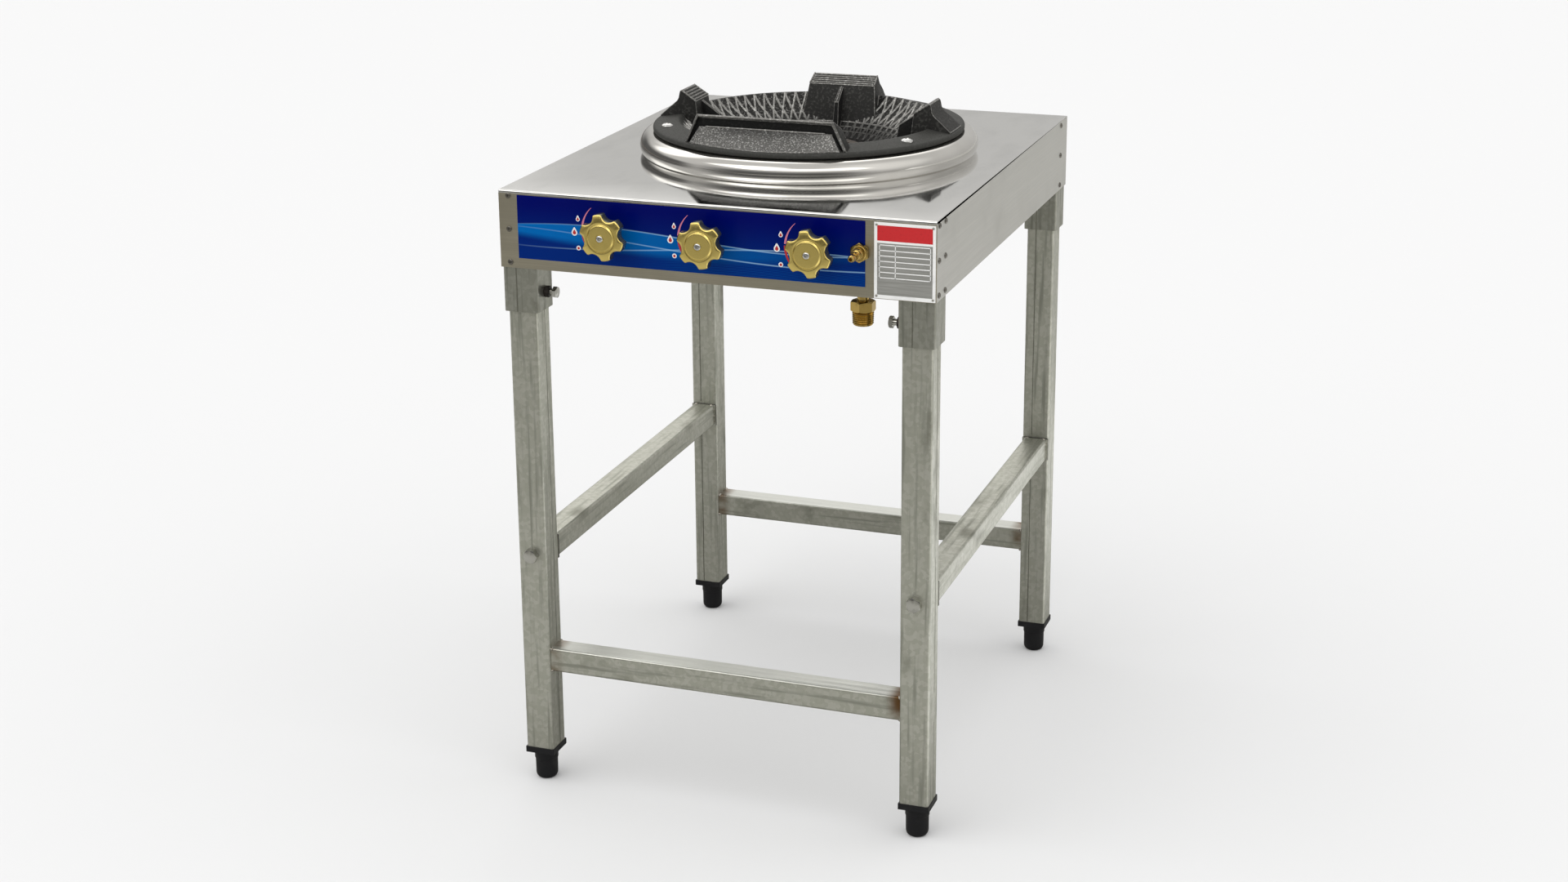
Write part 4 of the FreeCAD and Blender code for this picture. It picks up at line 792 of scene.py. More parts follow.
# %% Cut a cross-slot head
def cross_slot_head(radius, height):
    """Mesh of one domed screw head, in millimetres, seated at zero."""
    dome = bmesh.new()
    rows = [(0, -0.6), (0.9 * radius, -0.6), (radius, 0), (radius, 0.3 * height)]
    for step in range(1, 6):
        angle = math.pi / 2 * step / 6
        rows.append((radius * math.cos(angle * 0.92), height * (0.3 + 0.7 * math.sin(angle))))
    rows.append((0, height))
    turn_on_lathe(dome, rows, Matrix.Identity(4), segments=32)
    slot = bmesh.new()
    half, long = 0.13 * radius, 0.58 * radius
    above, floor_level = 1.2 * height, 0.35 * height
    outline = [(-long, above), (-0.5 * long, floor_level), (0.5 * long, floor_level), (long, above)]
    for turn, lift in ((0, 0), (90, 0.18 * radius)):
        spin = Matrix.Rotation(math.radians(turn), 4, "Z")
        sides = [[spin @ Vector((u, side * half, w + lift)) for u, w in outline] for side in (-1, 1)]
        loft(slot, sides)
    things = []
    for shape in (dome, slot):
        bmesh.ops.recalc_face_normals(shape, faces=shape.faces)
        data = bpy.data.meshes.new("screw_blank")
        shape.to_mesh(data)
        shape.free()
        things.append(bpy.data.objects.new("screw_blank", data))
        scene.collection.objects.link(things[-1])
    cutter = things[0].modifiers.new("slot", "BOOLEAN")
    cutter.object = things[1]
    cutter.operation = "DIFFERENCE"
    cutter.use_self = True
    cut = bpy.data.meshes.new_from_object(things[0].evaluated_get(bpy.context.evaluated_depsgraph_get()))
    for thing in things:
        bpy.data.objects.remove(thing)
    print("screw head radius", radius, "faces", len(cut.polygons))
    return cut


def stamp(mesh, head, place):
    copy = head.copy()
    copy.transform(place)
    mesh.from_mesh(copy)
    bpy.data.meshes.remove(copy)


# %% Set the screws of the casting and the panels
casting_head = cross_slot_head(8, 4.6)
support = bmesh.new()
for degrees in (90, 210, 330):
    seat = Matrix.Translation(round_fire(187, degrees, 1.6))
    stamp(support, casting_head, seat @ Matrix.Rotation(math.radians(degrees + 20), 4, "Z"))
    turn_on_lathe(support, [(0, -16), (2.6, -16), (3, -15.4), (3, -0.2), (0, -0.2)], seat, segments=20)
finished(support, "casting_screws", [BRIGHT], stands_for=["support_screws"])

panel_head = cross_slot_head(3.6, 1.8)
panel_screws = bmesh.new()
HALF = box_mm("top_panel")[1].x
POST = HALF - 13
SIDE_COLUMNS = (FRONT + 11, FRONT + 37, BACK - 37)
SCREW_LEVELS = (709, 751, 793)
columns = [("-x", -HALF, y) for y in SIDE_COLUMNS] + [("x", HALF, y) for y in SIDE_COLUMNS]
columns += [("-y", -POST, FRONT), ("y", -POST, BACK), ("y", POST, BACK)]
spots = [(*column, z) for column in columns for z in SCREW_LEVELS]
print("screw columns:", len(columns), "with", len(spots), "screws")
for number, spot in enumerate(spots):
    seat = facing(*spot)
    stamp(panel_screws, panel_head, seat @ Matrix.Rotation(number * 0.7, 4, "Z"))
    turn_on_lathe(panel_screws, [(0, -8), (1.2, -8), (2, -6.5), (2, -0.2), (0, -0.2)], seat, segments=12)
finished(panel_screws, "panel_screw_heads", [SCREW], stands_for=["panel_screws"])

# %% [markdown]
# Each tap has a star knob: a dark moulded body with six lobes, and a satin gold face that falls away
# towards the tips, with a groove round its middle. A star is a circle with bites taken out, so its
# radius is worked out from the angle, and the same lathe turns it. The face gets its own finish.

# %% Finishes of the knobs
gold = Finish("knob_gold", (0.86, 0.68, 0.22), 1, 0.22)
brushed = gold.grain(420, detail=3)
tarnish = gold.grain(30, detail=2)
gold.paint(tarnish.step(0.5, 0.8), (0.72, 0.55, 0.16)).vary("Roughness", brushed, 0.18, 0.27)
gold.emboss(brushed, 0.03, 0.15)
dark = Finish("knob_dark", (0.045, 0.05, 0.045), 0.2, 0.16)
dark.vary("Roughness", dark.grain(120), 0.1, 0.26).emboss(dark.grain(200), 0.12, 0.3)
dark.paint(dark.grain(60).step(0.5, 0.8), (0.10, 0.105, 0.09))
print("knob finishes:", gold.material.name, dark.material.name)

# %% Outline of a star
KNOB_RADIUS = 29
BITE_RADIUS = 11
BITE_CENTRE = 33.5
NO_BITE = 60.0
LOBE = math.pi / 3
STAR_TURN = math.radians(10)
BLEND = 1.6
FACE_RADIUS = 19.8
FACE_HEIGHT = 23.4
FACE_SLOPE = 0.2


def star(inset):
    """Radius of the star at an angle, drawn in by an inset."""

    def radius(angle):
        off = (angle - STAR_TURN + LOBE / 2) % LOBE - LOBE / 2
        aside = BITE_CENTRE * math.sin(off)
        bite = NO_BITE
        if abs(aside) < BITE_RADIUS:
            bite = BITE_CENTRE * math.cos(off) - math.sqrt(BITE_RADIUS**2 - aside**2)
        blend = max(BLEND - abs(bite - KNOB_RADIUS), 0) / BLEND
        return min(bite, KNOB_RADIUS) - 0.4 * blend**2 - inset

    return radius


def fall(inset, below):
    """Height of the face along the star's outline: the longer the lobe, the lower."""
    outline = star(inset)
    return lambda angle: FACE_HEIGHT - FACE_SLOPE * (outline(angle) - FACE_RADIUS) - below


radii = [star(0)(math.tau * step / 180) for step in range(180)]
print("the star reaches from", round(min(radii), 1), "to", round(max(radii), 1), "mm")

# %% Turn the star knobs
KNOB_ROWS = [
    (0, 12), (4.2, 12), (4.2, 0), (9.3, 0), (10, 0.7), (10, 8.8), (star(2), 8.8), (star(0.5), 9.1),
    (star(0), 9.8), (star(0), fall(0, 2.4)), (star(0.25), fall(0.25, 1.2)), (star(0.9), fall(0.9, 0.4)),
    (star(1.8), fall(1.8, 0)), (FACE_RADIUS, FACE_HEIGHT), (18.8, 23.45), (18.2, 23.1), (17.6, 22.9),
    (17.1, 23.1), (16.1, 24.8), (15.5, 25.2), (14.7, 25.3), (5.4, 25.3), (5.2, 24.9), (0, 24.9),
]
DARK_ROWS = 10
KNOB_MARKS = [0] * DARK_ROWS + [1] * (len(KNOB_ROWS) - 1 - DARK_ROWS)
knob_screw = cross_slot_head(4.4, 2.9)
for name, spot in KNOBS.items():
    boss_end = box_mm(f"knob_{name}")[1].y
    seat = facing("-y", spot.x, boss_end, spot.z)
    knob = bmesh.new()
    turn_on_lathe(knob, KNOB_ROWS, seat, segments=180, marks=KNOB_MARKS)
    finished(
        knob, f"star_knob_{name}", [dark.material, gold.material], body=f"knob_{name}",
        stands_for=[f"knob_{name}"], sharp=50,
    )
    screw = bmesh.new()
    stamp(screw, knob_screw, seat @ Matrix.Translation((0, 0, 25)) @ Matrix.Rotation(0.5, 4, "Z"))
    finished(screw, f"knob_screw_{name}", [BRIGHT], body=f"knob_{name}")

# %% [markdown]
# Bolts, clamp screws and nuts are hexagons whose corners are turned off, which leaves the curved edges
# seen on every real nut. The lathe can do this too: the radius follows a hexagon, and the height drops
# towards the corners.

# %% Hexagons with turned corners
def hexagon(flats):
    return lambda angle: flats / 2 / math.cos((angle + math.pi / 6) % (math.pi / 3) - math.pi / 6)


def hex_body(mesh, flats, height, seat, bore=0.0, both=False):
    """A bolt head or nut; both says that its lower corners are turned off as well."""
    reach = hexagon(flats)
    washer_face = 0.47 * flats

    def lower_edge(angle):
        return (reach(angle) - 0.485 * flats) * 0.6

    def upper_edge(angle):
        return height - lower_edge(angle)

    rows = [(bore, 0), (washer_face, 0), (reach, lower_edge if both else 0)]
    rows += [(reach, upper_edge), (washer_face, height), (bore, height)]
    turn_on_lathe(mesh, rows, seat, segments=60, closed=bool(bore))


def shank(mesh, radius, length, seat):
    """A round bolt shank with a chamfered tip, down from its seat."""
    rows = [(0, 0.5), (radius, 0.5), (radius, 1 - length), (0.75 * radius, -length), (0, -length)]
    turn_on_lathe(mesh, rows, seat, segments=24)


across_corners = 2 * hexagon(17)(math.pi / 6)
print("a head of 17 mm measures", round(across_corners, 1), "mm across its corners")

# %% Bolts, clamp screws and nuts
RAIL_THREAD = 5
CLAMP_THREAD = 4
CLAMP_NUT_HEIGHT = 6.8
CLAMP_GAP = 5
bolts, rail_nuts, clamps, clamp_nuts, valve_nuts = (bmesh.new() for _ in range(5))
for corner, (side, depth) in CORNERS.items():
    leg = LEGS[corner]
    outward, inward = ("-y", "y") if depth < 0 else ("y", "-y")
    bolt_seat = facing(outward, leg.x, leg.y + depth * LEG_HALF, RAIL_LEVEL)
    hex_body(bolts, 17, 9, bolt_seat @ Matrix.Rotation(0.3 * side + 0.2 * depth, 4, "Z"))
    shank(bolts, RAIL_THREAD, 53, bolt_seat)
    nut_seat = facing(inward, leg.x, leg.y - depth * PLATE_FACE, RAIL_LEVEL)
    hex_body(rail_nuts, 17, 8, nut_seat, bore=RAIL_THREAD, both=True)
    towards = "-x" if side > 0 else "x"
    nut_seat = facing(towards, leg.x - side * SOCKET_HALF, leg.y, CLAMP_LEVEL)
    hex_body(clamp_nuts, 13, CLAMP_NUT_HEIGHT, nut_seat, bore=CLAMP_THREAD, both=True)
    head_x = leg.x - side * (SOCKET_HALF + CLAMP_NUT_HEIGHT + CLAMP_GAP)
    head_seat = facing(towards, head_x, leg.y, CLAMP_LEVEL)
    hex_body(clamps, 13, 5.3, head_seat @ Matrix.Rotation(0.4 * depth, 4, "Z"))
    shank(clamps, CLAMP_THREAD, 15.8, head_seat)
for spot in KNOBS.values():
    hex_body(valve_nuts, 19, 5, facing("-y", spot.x, PRINT_FACE, spot.z), bore=7, both=True)
for mesh, name, material, slot, node in (
    (bolts, "rail_bolt_set", ZINC, "bolt_zinc", "rail_bolts"),
    (rail_nuts, "rail_nut_set", ZINC, "bolt_zinc", "rail_nuts"),
    (clamps, "clamp_screw_set", ZINC, "bolt_zinc", "clamp_screws"),
    (clamp_nuts, "clamp_nut_set", BLACKENED, "black_nut", "clamp_nuts"),
    (valve_nuts, "valve_nut_set", BRIGHT, "bright_nut", "valve_nuts"),
):
    finished(mesh, name, [material], stands_for=[node])

# %% [markdown]
# Two brass fittings show: the nipple for a lighter hose at the front, and the threaded gas inlet under
# the box. Both are turned from hexagon bar. The thread is a stack of small ridges; a true helix would
# look the same from here and is harder to close at its ends.

# %% Lighter nipple
nipple_x = middle_mm("lighter_nipple").x
level = KNOBS["pilot"].z
nipple = bmesh.new()
front_seat = facing("-y", nipple_x, PRINT_FACE, level)
hex_body(nipple, 21, 5.6, front_seat)
barrel = [
    (0, 4), (9.2, 4), (9.2, 7), (8.7, 7.6), (7, 7.7), (7, 14.4), (6.4, 15.4), (5.2, 15.8), (4.5, 16.4),
    (4.5, 20), (4.1, 20.6), (4.1, 22.6), (4.5, 23.2), (4.5, 33.4), (4.1, 35.4), (3, 37.4), (2, 37.4),
    (2, 26), (0, 26),
]
turn_on_lathe(nipple, barrel, front_seat, segments=40)
turn_on_lathe(nipple, [(0, -1.8), (7, -1.8), (7, 0.5), (0, 0.5)], front_seat, segments=40)
block = [(-12, level - 12), (12, level - 12), (12, level + 12), (-12, level + 12)]
block_ends = [[Vector((nipple_x + u, y, w)) for u, w in block] for y in (FRONT + 1.2, FRONT + 47.2)]
loft(nipple, block_ends, edge=1)
pipe_top = middle_mm("gas_manifold").z + 13
stem = facing("z", nipple_x, FRONT + 30, pipe_top - 4)
turn_on_lathe(nipple, [(0, 0), (9, 0), (9, 8), (0, 8)], stem, segments=32)
finished(nipple, "lighter_hose_nipple", [BRASS], stands_for=["lighter_nipple"])

# %% Threaded gas inlet
inlet_low, inlet_high = box_mm("gas_inlet")
inlet = middle_mm("gas_inlet")
inlet_mesh = bmesh.new()
inlet_end = facing("z", inlet.x, inlet.y, inlet_low.z)
inlet_length = inlet_high.z - inlet_low.z
BORE = 5
NUT_FOOT = 17
THREAD_ROOT = 11.6
nut_seat = inlet_end @ Matrix.Translation((0, 0, NUT_FOOT))
hex_body(inlet_mesh, 27, 13, nut_seat, bore=BORE, both=True)
inlet_rows = [(BORE, 30), (7, 30), (7, inlet_length), (BORE, inlet_length)]
turn_on_lathe(inlet_mesh, inlet_rows, inlet_end, segments=40, closed=True)
thread_rows = [(BORE, NUT_FOOT), (12, NUT_FOOT)]
for turn in range(6):
    top = 16.2 - 2.5 * turn
    crest = 13.2 - 0.08 * turn
    thread_rows += [(THREAD_ROOT, top), (crest, top - 1), (crest, top - 1.4), (THREAD_ROOT, top - 2.4)]
thread_rows += [(THREAD_ROOT, 0.5), (11, 0), (BORE, 0)]
turn_on_lathe(inlet_mesh, thread_rows, inlet_end, segments=60, closed=True)
finished(inlet_mesh, "threaded_gas_inlet", [BRASS], stands_for=["gas_inlet"], sharp=30)

# %% [markdown]
# The printed sheet round the knobs is glossy blue: almost black blue along the top, royal blue below,
# with a paler wave running across, thin light lines and a fine hatching low at the right. All of it is
# drawn by arithmetic on the sheet's own coordinates, so the print stays sharp at any size and needs no
# picture. Here u runs from 0 to 1 across the sheet, and v from 0 to 1 up it.

# %% Print of the front sheet
sheet_low, sheet_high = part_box("control_fascia")
blue = Finish("front_print", (0.0, 0.002, 0.092), 0, 0.25, Specular_IOR_Level=0.05)
x, _, z = blue.place()
u = (x - sheet_low.x) * (1 / (sheet_high.x - sheet_low.x))
v = (z - sheet_low.z) * (1 / (sheet_high.z - sheet_low.z))
WAVE_BLUE = (0.0, 0.10, 0.34)
LINE_BLUE = (0.30, 0.52, 0.72)
WAVE_TOP = (5.2, 0.5, 0.10, 0.50)
WAVE_FOOT = (4.1, 2.6, 0.13, 0.26)


def wave(rate, start, swing, middle):
    """Height of a wave across the sheet."""
    return (u * rate + start).sine() * swing + middle


blue.paint(v.step(0.95, 0.1), (0.0, 0.016, 0.14))
wave_top, wave_foot = wave(*WAVE_TOP), wave(*WAVE_FOOT)
in_wave = v.step(wave_foot - 0.01, wave_foot + 0.16) * v.step(wave_top + 0.004, wave_top - 0.004)
blue.paint(in_wave * (u.step(1.15, -0.1) + 0.2), WAVE_BLUE)
hatching = ((v + (u * 7).sine() * 0.04) * 260).sine().step(0.4, 1)
blue.paint(hatching * v.step(0.4, 0.05) * u.step(0.3, 0.55) * 0.5, WAVE_BLUE)
for line in (WAVE_TOP, (3.3, 1.9, 0.16, 0.36), (4.0, 4.4, 0.12, 0.33)):
    near_line = (v - wave(*line)).size().step(0.016, 0.002)
    blue.paint(near_line * u.step(-0.2, 0.6) * 0.55, LINE_BLUE)
blue.emboss(blue.grain(300, detail=2), 0.02, 0.1)
blue.vary("Roughness", blue.grain(30), 0.16, 0.26)
wear(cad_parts["control_fascia"], blue.material)
print("front sheet", [round(side / MM, 1) for side in sheet_high - sheet_low])

# %% [markdown]
# Round each knob a tapering crescent shows how the flame grows, and three small marks stand for off,
# low and high. They are printed on the real sheet. Here they are thin flakes just proud of it, with
# crisp outlines, so they need no extra nodes in the blue print.

# %% Inks and flakes
def printed(name, colour):
    ink = Finish(name, colour, 0, 0.3)
    ink.paint(ink.grain(400).step(0.5, 0.8), tuple(0.8 * share for share in colour))
    ink.emboss(ink.grain(500), 0.05, 0.1)
    return ink.material


RED_INK = printed("mark_red", (0.42, 0.012, 0.012))
PINK_INK = printed("mark_pink", (0.55, 0.16, 0.24))
WHITE_INK = printed("mark_white", (0.74, 0.74, 0.74))
RED, PINK, WHITE = range(3)


def flake(mesh, outline, proud, mark):
    """A flat printed shape on the front sheet, from points in x and z."""
    front, back = (
        [mesh.verts.new((px, level, pz)) for px, pz in outline]
        for level in (PRINT_FACE - proud, PRINT_FACE + 0.05)
    )
    for ring in (front, back):
        mesh.faces.new(ring).material_index = mark
    bridge(mesh, front, back, mark)


print("inks:", RED_INK.name, PINK_INK.name, WHITE_INK.name)

# %% Marks beside the knobs
CRESCENT_RADIUS = 38.5
CRESCENT_STEPS = 16
DROP_STEPS = 28


def crescent(spot, from_degrees, to_degrees, thick_start, thick_end):
    """Outline of a bow round a knob, from one thickness to another."""
    inner, outer = [], []
    for step in range(CRESCENT_STEPS + 1):
        share = step / CRESCENT_STEPS
        angle = math.radians(from_degrees + (to_degrees - from_degrees) * share)
        half = (thick_start + (thick_end - thick_start) * share) / 2
        for points, reach in ((inner, CRESCENT_RADIUS - half), (outer, CRESCENT_RADIUS + half)):
            points.append((spot.x + reach * math.cos(angle), spot.z + reach * math.sin(angle)))
    return inner + outer[::-1]


def drop(cx, cz, size, point):
    """A round mark whose top is drawn out to a point."""
    outline = []
    for step in range(DROP_STEPS):
        angle = math.tau * step / DROP_STEPS
        lift = 1 + point * max(math.sin(angle), 0) ** 6
        outline.append((cx + size * math.cos(angle), cz + size * lift * math.sin(angle)))
    return outline


knob_marks = bmesh.new()
for spot in KNOBS.values():
    flake(knob_marks, crescent(spot, 132, 176, 0.5, 3.0), 0.10, PINK)
    flake(knob_marks, crescent(spot, 179, 216, 3.2, 2.0), 0.10, RED)
    for dx, dz, size, point in ((-44, 13, 2.6, 0.9), (-49, -4, 3.8, 0.8), (-44, -23, 2.9, 0)):
        flake(knob_marks, drop(spot.x + dx, spot.z + dz, size, point), 0.08, WHITE)
        flake(knob_marks, drop(spot.x + dx, spot.z + dz - 0.2, 0.58 * size, point), 0.14, RED)
finished(knob_marks, "knob_marks", [RED_INK, PINK_INK, WHITE_INK])

# %% [markdown]
# At the right of the front sits a rating plate. Ours is blank: a white plate with a red header band
# and a grey ruled table for the owner to fill in. Each field is a thin raised panel, as on a stamped
# plate, and four small rivets hold it.

# %% Rating plate
plate_low, plate_high = box_mm("rating_plate")
plate_white = Finish("plate_white", (0.80, 0.80, 0.78), 0.1, 0.3)
plate_white.paint(plate_white.grain(60).step(0.5, 0.8), (0.70, 0.70, 0.69))
plate_white.emboss(plate_white.grain(200), 0.03, 0.1)
plate_grey = Finish("plate_grey", (0.42, 0.42, 0.40), 0.75, 0.32)
plate_grey.paint(plate_grey.grain(1, stretch=(20, 20, 700)).step(0.4, 0.7), (0.52, 0.52, 0.50))
plate_grey.emboss(plate_grey.grain(200), 0.05, 0.1)
plate_red = printed("plate_red", (0.50, 0.010, 0.014))
wear(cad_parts["rating_plate"], plate_white.material)

BAND, TABLE, RULE = range(3)
RULE_PROUD = 0.18
RULE_WIDTH = 0.012
RULED_ROWS = 6
plate_fields = bmesh.new()


def plate_field(left, right, bottom, top, proud, mark):
    """A raised panel on the plate, in shares of its width and height."""
    width, height = plate_high.x - plate_low.x, plate_high.z - plate_low.z
    x0, x1 = plate_low.x + left * width, plate_low.x + right * width
    z0, z1 = plate_low.z + bottom * height, plate_low.z + top * height
    flake(plate_fields, [(x0, z0), (x1, z0), (x1, z1), (x0, z1)], proud, mark)


plate_field(0.05, 0.95, 0.76, 0.96, 0.12, BAND)
plate_field(0.05, 0.95, 0.05, 0.73, 0.10, TABLE)
for row in range(RULED_ROWS + 1):
    share = 0.27 + 0.43 * row / RULED_ROWS
    plate_field(0.08, 0.92, share, share + RULE_WIDTH, RULE_PROUD, RULE)
for column in (0.08, 0.34, 0.91):
    plate_field(column, column + RULE_WIDTH, 0.27, 0.71, RULE_PROUD, RULE)
field_finishes = [plate_red, plate_grey.material, plate_white.material]
finished(plate_fields, "plate_fields", field_finishes)

# %% Rivets of the plate
rivets = bmesh.new()
rivet_rows = [(0, -0.3), (1.6, -0.3), (1.6, 0.2), (1.3, 0.7), (0.8, 0.95), (0, 1.05)]
for rivet_x in (plate_low.x + 3, plate_high.x - 3):
    for rivet_z in (plate_low.z + 3, plate_high.z - 3):
        turn_on_lathe(rivets, rivet_rows, facing("-y", rivet_x, PRINT_FACE, rivet_z), segments=20)
finished(rivets, "plate_rivets", [ZINC])

# %% [markdown]
# Sheet and tube never have knife edges: a fold is rounded, and that rounding is what draws the bright
# line along the front of the deck. A solid's own mesh stays as it is, so a copy is eased with a bevel
# and stands in for it. The edges of the end plates of the side rails are painted dark as painted
# shade, for the shaded gap between plate and leg.

# %% Ease the edges of sheet and plastic
def eased(node, width, fold=0.0):
    """A copy of a solid with joined faces, rounded edges and a wide fold along its top front edge."""
    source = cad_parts[node]
    mesh = bmesh.new()
    mesh.from_mesh(source.data)
    bmesh.ops.remove_doubles(mesh, verts=mesh.verts, dist=1e-6)
    bmesh.ops.dissolve_limit(mesh, angle_limit=0.01, verts=mesh.verts, edges=mesh.edges)
    mesh.transform(Matrix.Scale(1 / MM, 4))
    if fold:
        low, high = box_mm(node)
        corner = Vector((0, low.y, high.z))
        front_edge = [
            line for line in mesh.edges if all((end.co - corner).yz.length < 0.01 for end in line.verts)
        ]
        bmesh.ops.bevel(mesh, geom=front_edge, offset=fold, segments=5, profile=0.5, affect="EDGES")
        print(node, "has", len(front_edge), "folded edge")
    materials = list(source.data.materials)
    piece = finished(mesh, f"{node}_eased", materials, stands_for=[node], sharp=30)
    rounding = piece.modifiers.new("eased_edges", "BEVEL")
    rounding.width = width * MM
    rounding.segments = 3
    rounding.limit_method = "ANGLE"
    rounding.angle_limit = math.radians(40)
    rounding.harden_normals = True
    return piece


eased("top_panel", 0.55, fold=2.4)
eased("front_panel", 0.3)
for side in ("left", "right"):
    eased(f"{side}_panel", 0.35)
eased("foot_plugs", 1.1)
plates = eased("rail_end_plates", 0.4)
# The plate edges get painted shade.
plates.data.materials.append(PLATE_EDGE_SHADE)
for face in plates.data.polygons:
    face.material_index = 0 if abs(face.normal.y) > 0.5 else 1
print("end plates with dark cut edges:", len(plates.data.polygons), "faces")

# %% [markdown]
# Each foot is a black moulded stub that screws into the plug of its leg, so the range can be levelled.
# The photograph shows a collar, a slightly slimmer body and a well rounded nose. A lathe outline with
# an arc at the nose gives that, and the foot rides on its own body because it moves.

# %% Turn the feet
SHOULDER = 39.7
FOOT_TOP = box_mm("levelling_foot_front_left")[1].z
nose_angles = [math.pi / 12 * step for step in range(7)]
nose = [(9 + 5.5 * math.sin(angle), 7 - 7 * math.cos(angle)) for angle in nose_angles]
foot_rows = [(0, 0)] + nose + [
    (14.7, SHOULDER - 12.6), (15.2, SHOULDER - 12), (15.5, SHOULDER - 11.4), (15.5, SHOULDER - 0.8),
    (14.8, SHOULDER), (6, SHOULDER), (6, FOOT_TOP - 1), (5.2, FOOT_TOP), (0, FOOT_TOP),
]
for corner in CORNERS:
    foot = bmesh.new()
    turn_on_lathe(foot, foot_rows, facing("z", LEGS[corner].x, LEGS[corner].y, 0), segments=48)
    finished(
        foot, f"screw_foot_{corner}", [plastic.material], body=f"foot_{corner}",
        stands_for=[f"levelling_foot_{corner}"],
    )

# %% [markdown]
# Square tube is rolled from strip and welded along one face, and the rails are tacked to the legs with
# a welding torch. The seam is a low uneven bead, and the tacks are blobs that froze as they flowed.
# Both are small, but without them the stand looks like plastic.

# %% Seams of the tubes
SEAM_STEP = 9
PLUG_TOP = 49
SOCKET_FOOT = 645.5
BOX_FOOT = 701.5
seams = bmesh.new()


def seam(x, y, low, high, direction):
    """An uneven bead up one face of a tube."""
    up = Vector((0, 0, 1))
    out = TURNS[direction].to_3x3() @ up
    across = up.cross(out)
    steps = int((high - low) / SEAM_STEP)
    rows = []
    for step in range(steps + 1):
        rise = low + (high - low) * step / steps
        wobble = noise.noise(Vector((x * 0.1, y * 0.1, rise * 0.09)))
        half, proud = 0.9 + 0.35 * wobble, 0.28 + 0.16 * wobble
        shift = 0.4 * noise.noise(Vector((x, y, rise * 0.02)))
        points = ((-half, -0.1), (-0.5 * half, proud), (0.5 * half, proud), (half, -0.1))
        rows.append([Vector((x, y, rise)) + across * (a + shift) + out * b for a, b in points])
    loft(seams, rows)


for corner, (_, depth) in CORNERS.items():
    leg = LEGS[corner]
    seam(leg.x - 5, leg.y - SOCKET_HALF, SOCKET_FOOT, BOX_FOOT, "-y")
    if depth < 0:
        x, y, direction, rail = leg.x + LEG_HALF, leg.y + 4, "x", LOW_RAIL_LEVEL
    else:
        x, y, direction, rail = leg.x - 6, leg.y - LEG_HALF, "-y", RAIL_LEVEL
    seam(x, y, PLUG_TOP, rail - 20, direction)
    seam(x, y, rail + 20, SOCKET_FOOT - 1.5, direction)
finished(seams, "tube_seams", [SEAM], sharp=70)

# %% Weld tacks
def tack(spot, size):
    """A frozen drop of weld metal, a little different each time."""
    seed = chance.uniform(0, 50)
    blob = bmesh.ops.create_icosphere(tacks, subdivisions=3, radius=1)
    for vertex in blob["verts"]:
        bump = 1 + 0.35 * noise.noise(vertex.co * 1.7 + Vector((seed, 0, seed)))
        vertex.co = spot + Vector([size[axis] * bump * vertex.co[axis] for axis in range(3)])


tacks = bmesh.new()
chance = random.Random(7)
for corner, (side, depth) in CORNERS.items():
    leg = LEGS[corner]
    for dy in (-14, 14):
        for dz in (15, -15):
            y = leg.y + dy + chance.uniform(-1, 1)
            spot = Vector((leg.x - side * (LEG_HALF + 0.8), y, LOW_RAIL_LEVEL + dz))
            tack(spot, (2.4, 3.2, 2.2))
    for columns, rows, size in (
        ((-12, 12), (15.5, -15.5), (2.6, 1.8, 1.6)), ((-15, 15), (-9, 0, 9), (1.6, 1.8, 2.4)),
    ):
        for dx in columns:
            for dz in rows:
                spot = Vector((leg.x + dx, leg.y - depth * (PLATE_FACE + 0.7), RAIL_LEVEL + dz))
                tack(spot, size)
finished(tacks, "weld_tacks", [WELD], sharp=70)

# %% [markdown]
# The stage is a plain pale floor in a soft room, as for a catalogue picture. Lamps close to the range
# would leave hard white patches in the polished ring, so the room itself is the lamp. A photographer
# also hangs bright and dark cards for the metal to mirror; here rays that leave a shiny surface see
# such cards instead of the soft room. They also see a duller floor: dark in front and far to the left,
# pale at its right, and painted darker under the range as painted shade.

# %% Lay the floor
floor_mesh = bmesh.new()
bmesh.ops.create_grid(floor_mesh, x_segments=4, y_segments=4, size=40)
floor_data = bpy.data.meshes.new("floor")
floor_mesh.to_mesh(floor_data)
floor_mesh.free()
floor = bpy.data.objects.new("floor", floor_data)
scene.collection.objects.link(floor)
pale = Finish("pale_floor", (0.74, 0.74, 0.74), 0, 0.9)
rays = pale.tree.nodes.new("ShaderNodeLightPath")
mirrored = Field(pale.tree, rays.outputs["Is Glossy Ray"])
floor_x, floor_y = pale.place()[:2]
in_front = floor_y.step(-0.7, -2.6)
at_right = floor_x.step(0.3, 0.6) * floor_y.step(1.8, 0.9) * floor_y.step(-1, -0.3)
close_by = at_right * floor_x.step(1.25, 1.0)
far_left = floor_x.step(-3.5, -6.5)
under_x = floor_x.step(0.45, 0.25) * floor_x.step(-0.8, -0.5)
# Painted shade: the floor under the range is darker for mirrored rays.
shade_under_range = under_x * floor_y.step(-0.6, -0.3) * floor_y.step(1.5, 1.1)
pale.paint(mirrored, (0.44, 0.435, 0.41))
for patch, colour in (
    (in_front, (0.23, 0.225, 0.20)), (at_right, (0.85, 0.84, 0.80)), (close_by, (1, 1, 1)),
    (far_left, (0.06, 0.05, 0.042)), (shade_under_range, (0.26, 0.255, 0.235)),
):
    pale.paint(mirrored * patch, colour)
wear(floor, pale.material)
print("floor", len(floor_data.polygons), "squares")

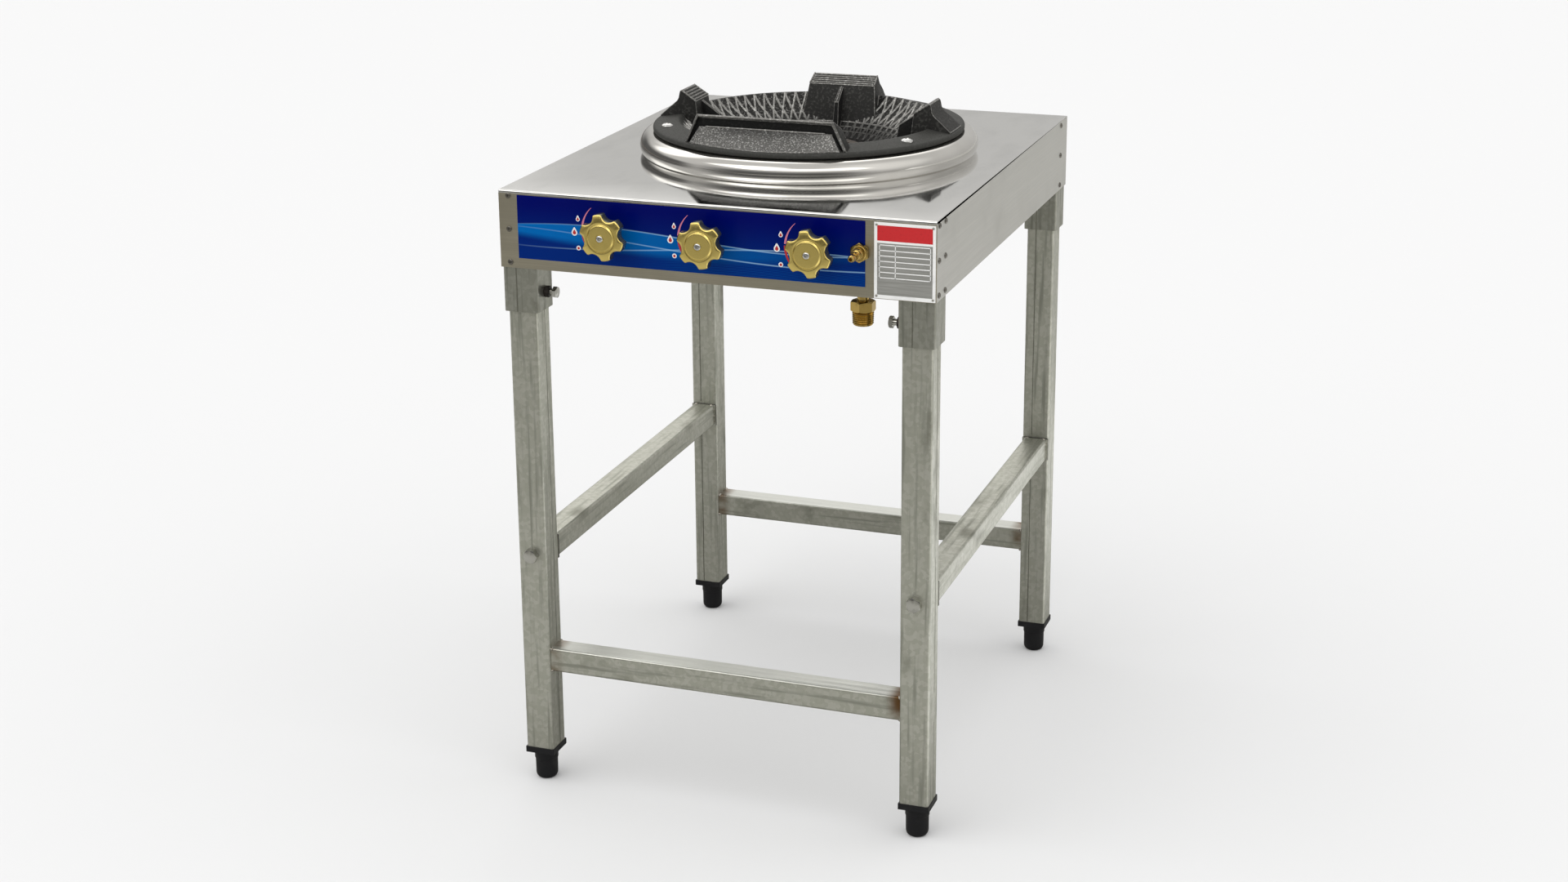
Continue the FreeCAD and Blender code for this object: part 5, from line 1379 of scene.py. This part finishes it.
# %% Cards and backdrops of the room
world = bpy.data.worlds.new("studio")
world.use_nodes = True
scene.world = world
room = world.node_tree
coordinates = room.nodes.new("ShaderNodeTexCoord")
split = room.nodes.new("ShaderNodeSeparateXYZ")
room.links.new(coordinates.outputs["Generated"], split.inputs[0])
wx, wy, wz = [Field(room, output) for output in split.outputs]


def card(direction, wide, narrow):
    """1 close to a direction in the room and 0 away from it, with angles in degrees."""
    dx, dy, dz = Vector(direction).normalized()
    along = wx * dx + wy * dy + wz * dz
    return along.step(math.cos(math.radians(wide)), math.cos(math.radians(narrow)))


def hang(light, narrow, *bright_cards):
    """Add bright cards to a light, each with its direction, width in degrees and strength."""
    for direction, wide, strength in bright_cards:
        light = light + card(direction, wide, narrow) * strength
    return light


def backdrop(colour, strength):
    node = room.nodes.new("ShaderNodeBackground")
    node.inputs["Color"].default_value = (*colour, 1)
    wx.feed(node, "Strength", strength)
    return node.outputs[0]


print("a direction in the room has", len(split.outputs), "fields")

# %% Light the room
soft = hang(wz.step(-0.2, 1) * 0.45 + 0.6, 10, ((-1.6, -1.9, 2.3), 60, 0.9), ((2.9, 0.1, 1.4), 50, 0.5))
dark_left = card((-1, 0.3, 0.08), 48, 25) * wz.step(0.34, 0.16)
dark_front = (wy * -1).step(0.3, 0.9) * wz.step(0.6, 0.25)
dim = (wz.step(-0.1, 0.6) * 0.12 + 0.52) * (dark_left * -0.8 + 1) * (dark_front * -0.8 + 1)
long_card = wz.step(0.56, 0.64) * wz.step(0.86, 0.78) * (wy * -1).step(0.25, 0.4)
cards = hang(
    dim + long_card * 1.1, 6, ((-0.3, -0.6, 0.8), 20, 1.2), ((-0.75, 0.35, 0.6), 20, 1.1),
    ((-0.3, 0.7, 0.75), 28, 1.2), ((0.9, -0.2, 0.8), 40, 0.3),
)
seen = backdrop((1, 1, 1), soft)
for kind, colour, strength in (
    ("Is Glossy Ray", (1, 0.985, 0.955), cards), ("Is Camera Ray", (1, 1, 1), 0.88),
):
    choice = room.nodes.new("ShaderNodeMixShader")
    room.links.new(room.nodes.new("ShaderNodeLightPath").outputs[kind], choice.inputs[0])
    room.links.new(seen, choice.inputs[1])
    room.links.new(backdrop(colour, strength), choice.inputs[2])
    seen = choice.outputs[0]
room.links.new(seen, room.nodes["World Output"].inputs["Surface"])
scene.view_settings.view_transform = "Standard"
print("room lit by", len(room.nodes), "nodes")
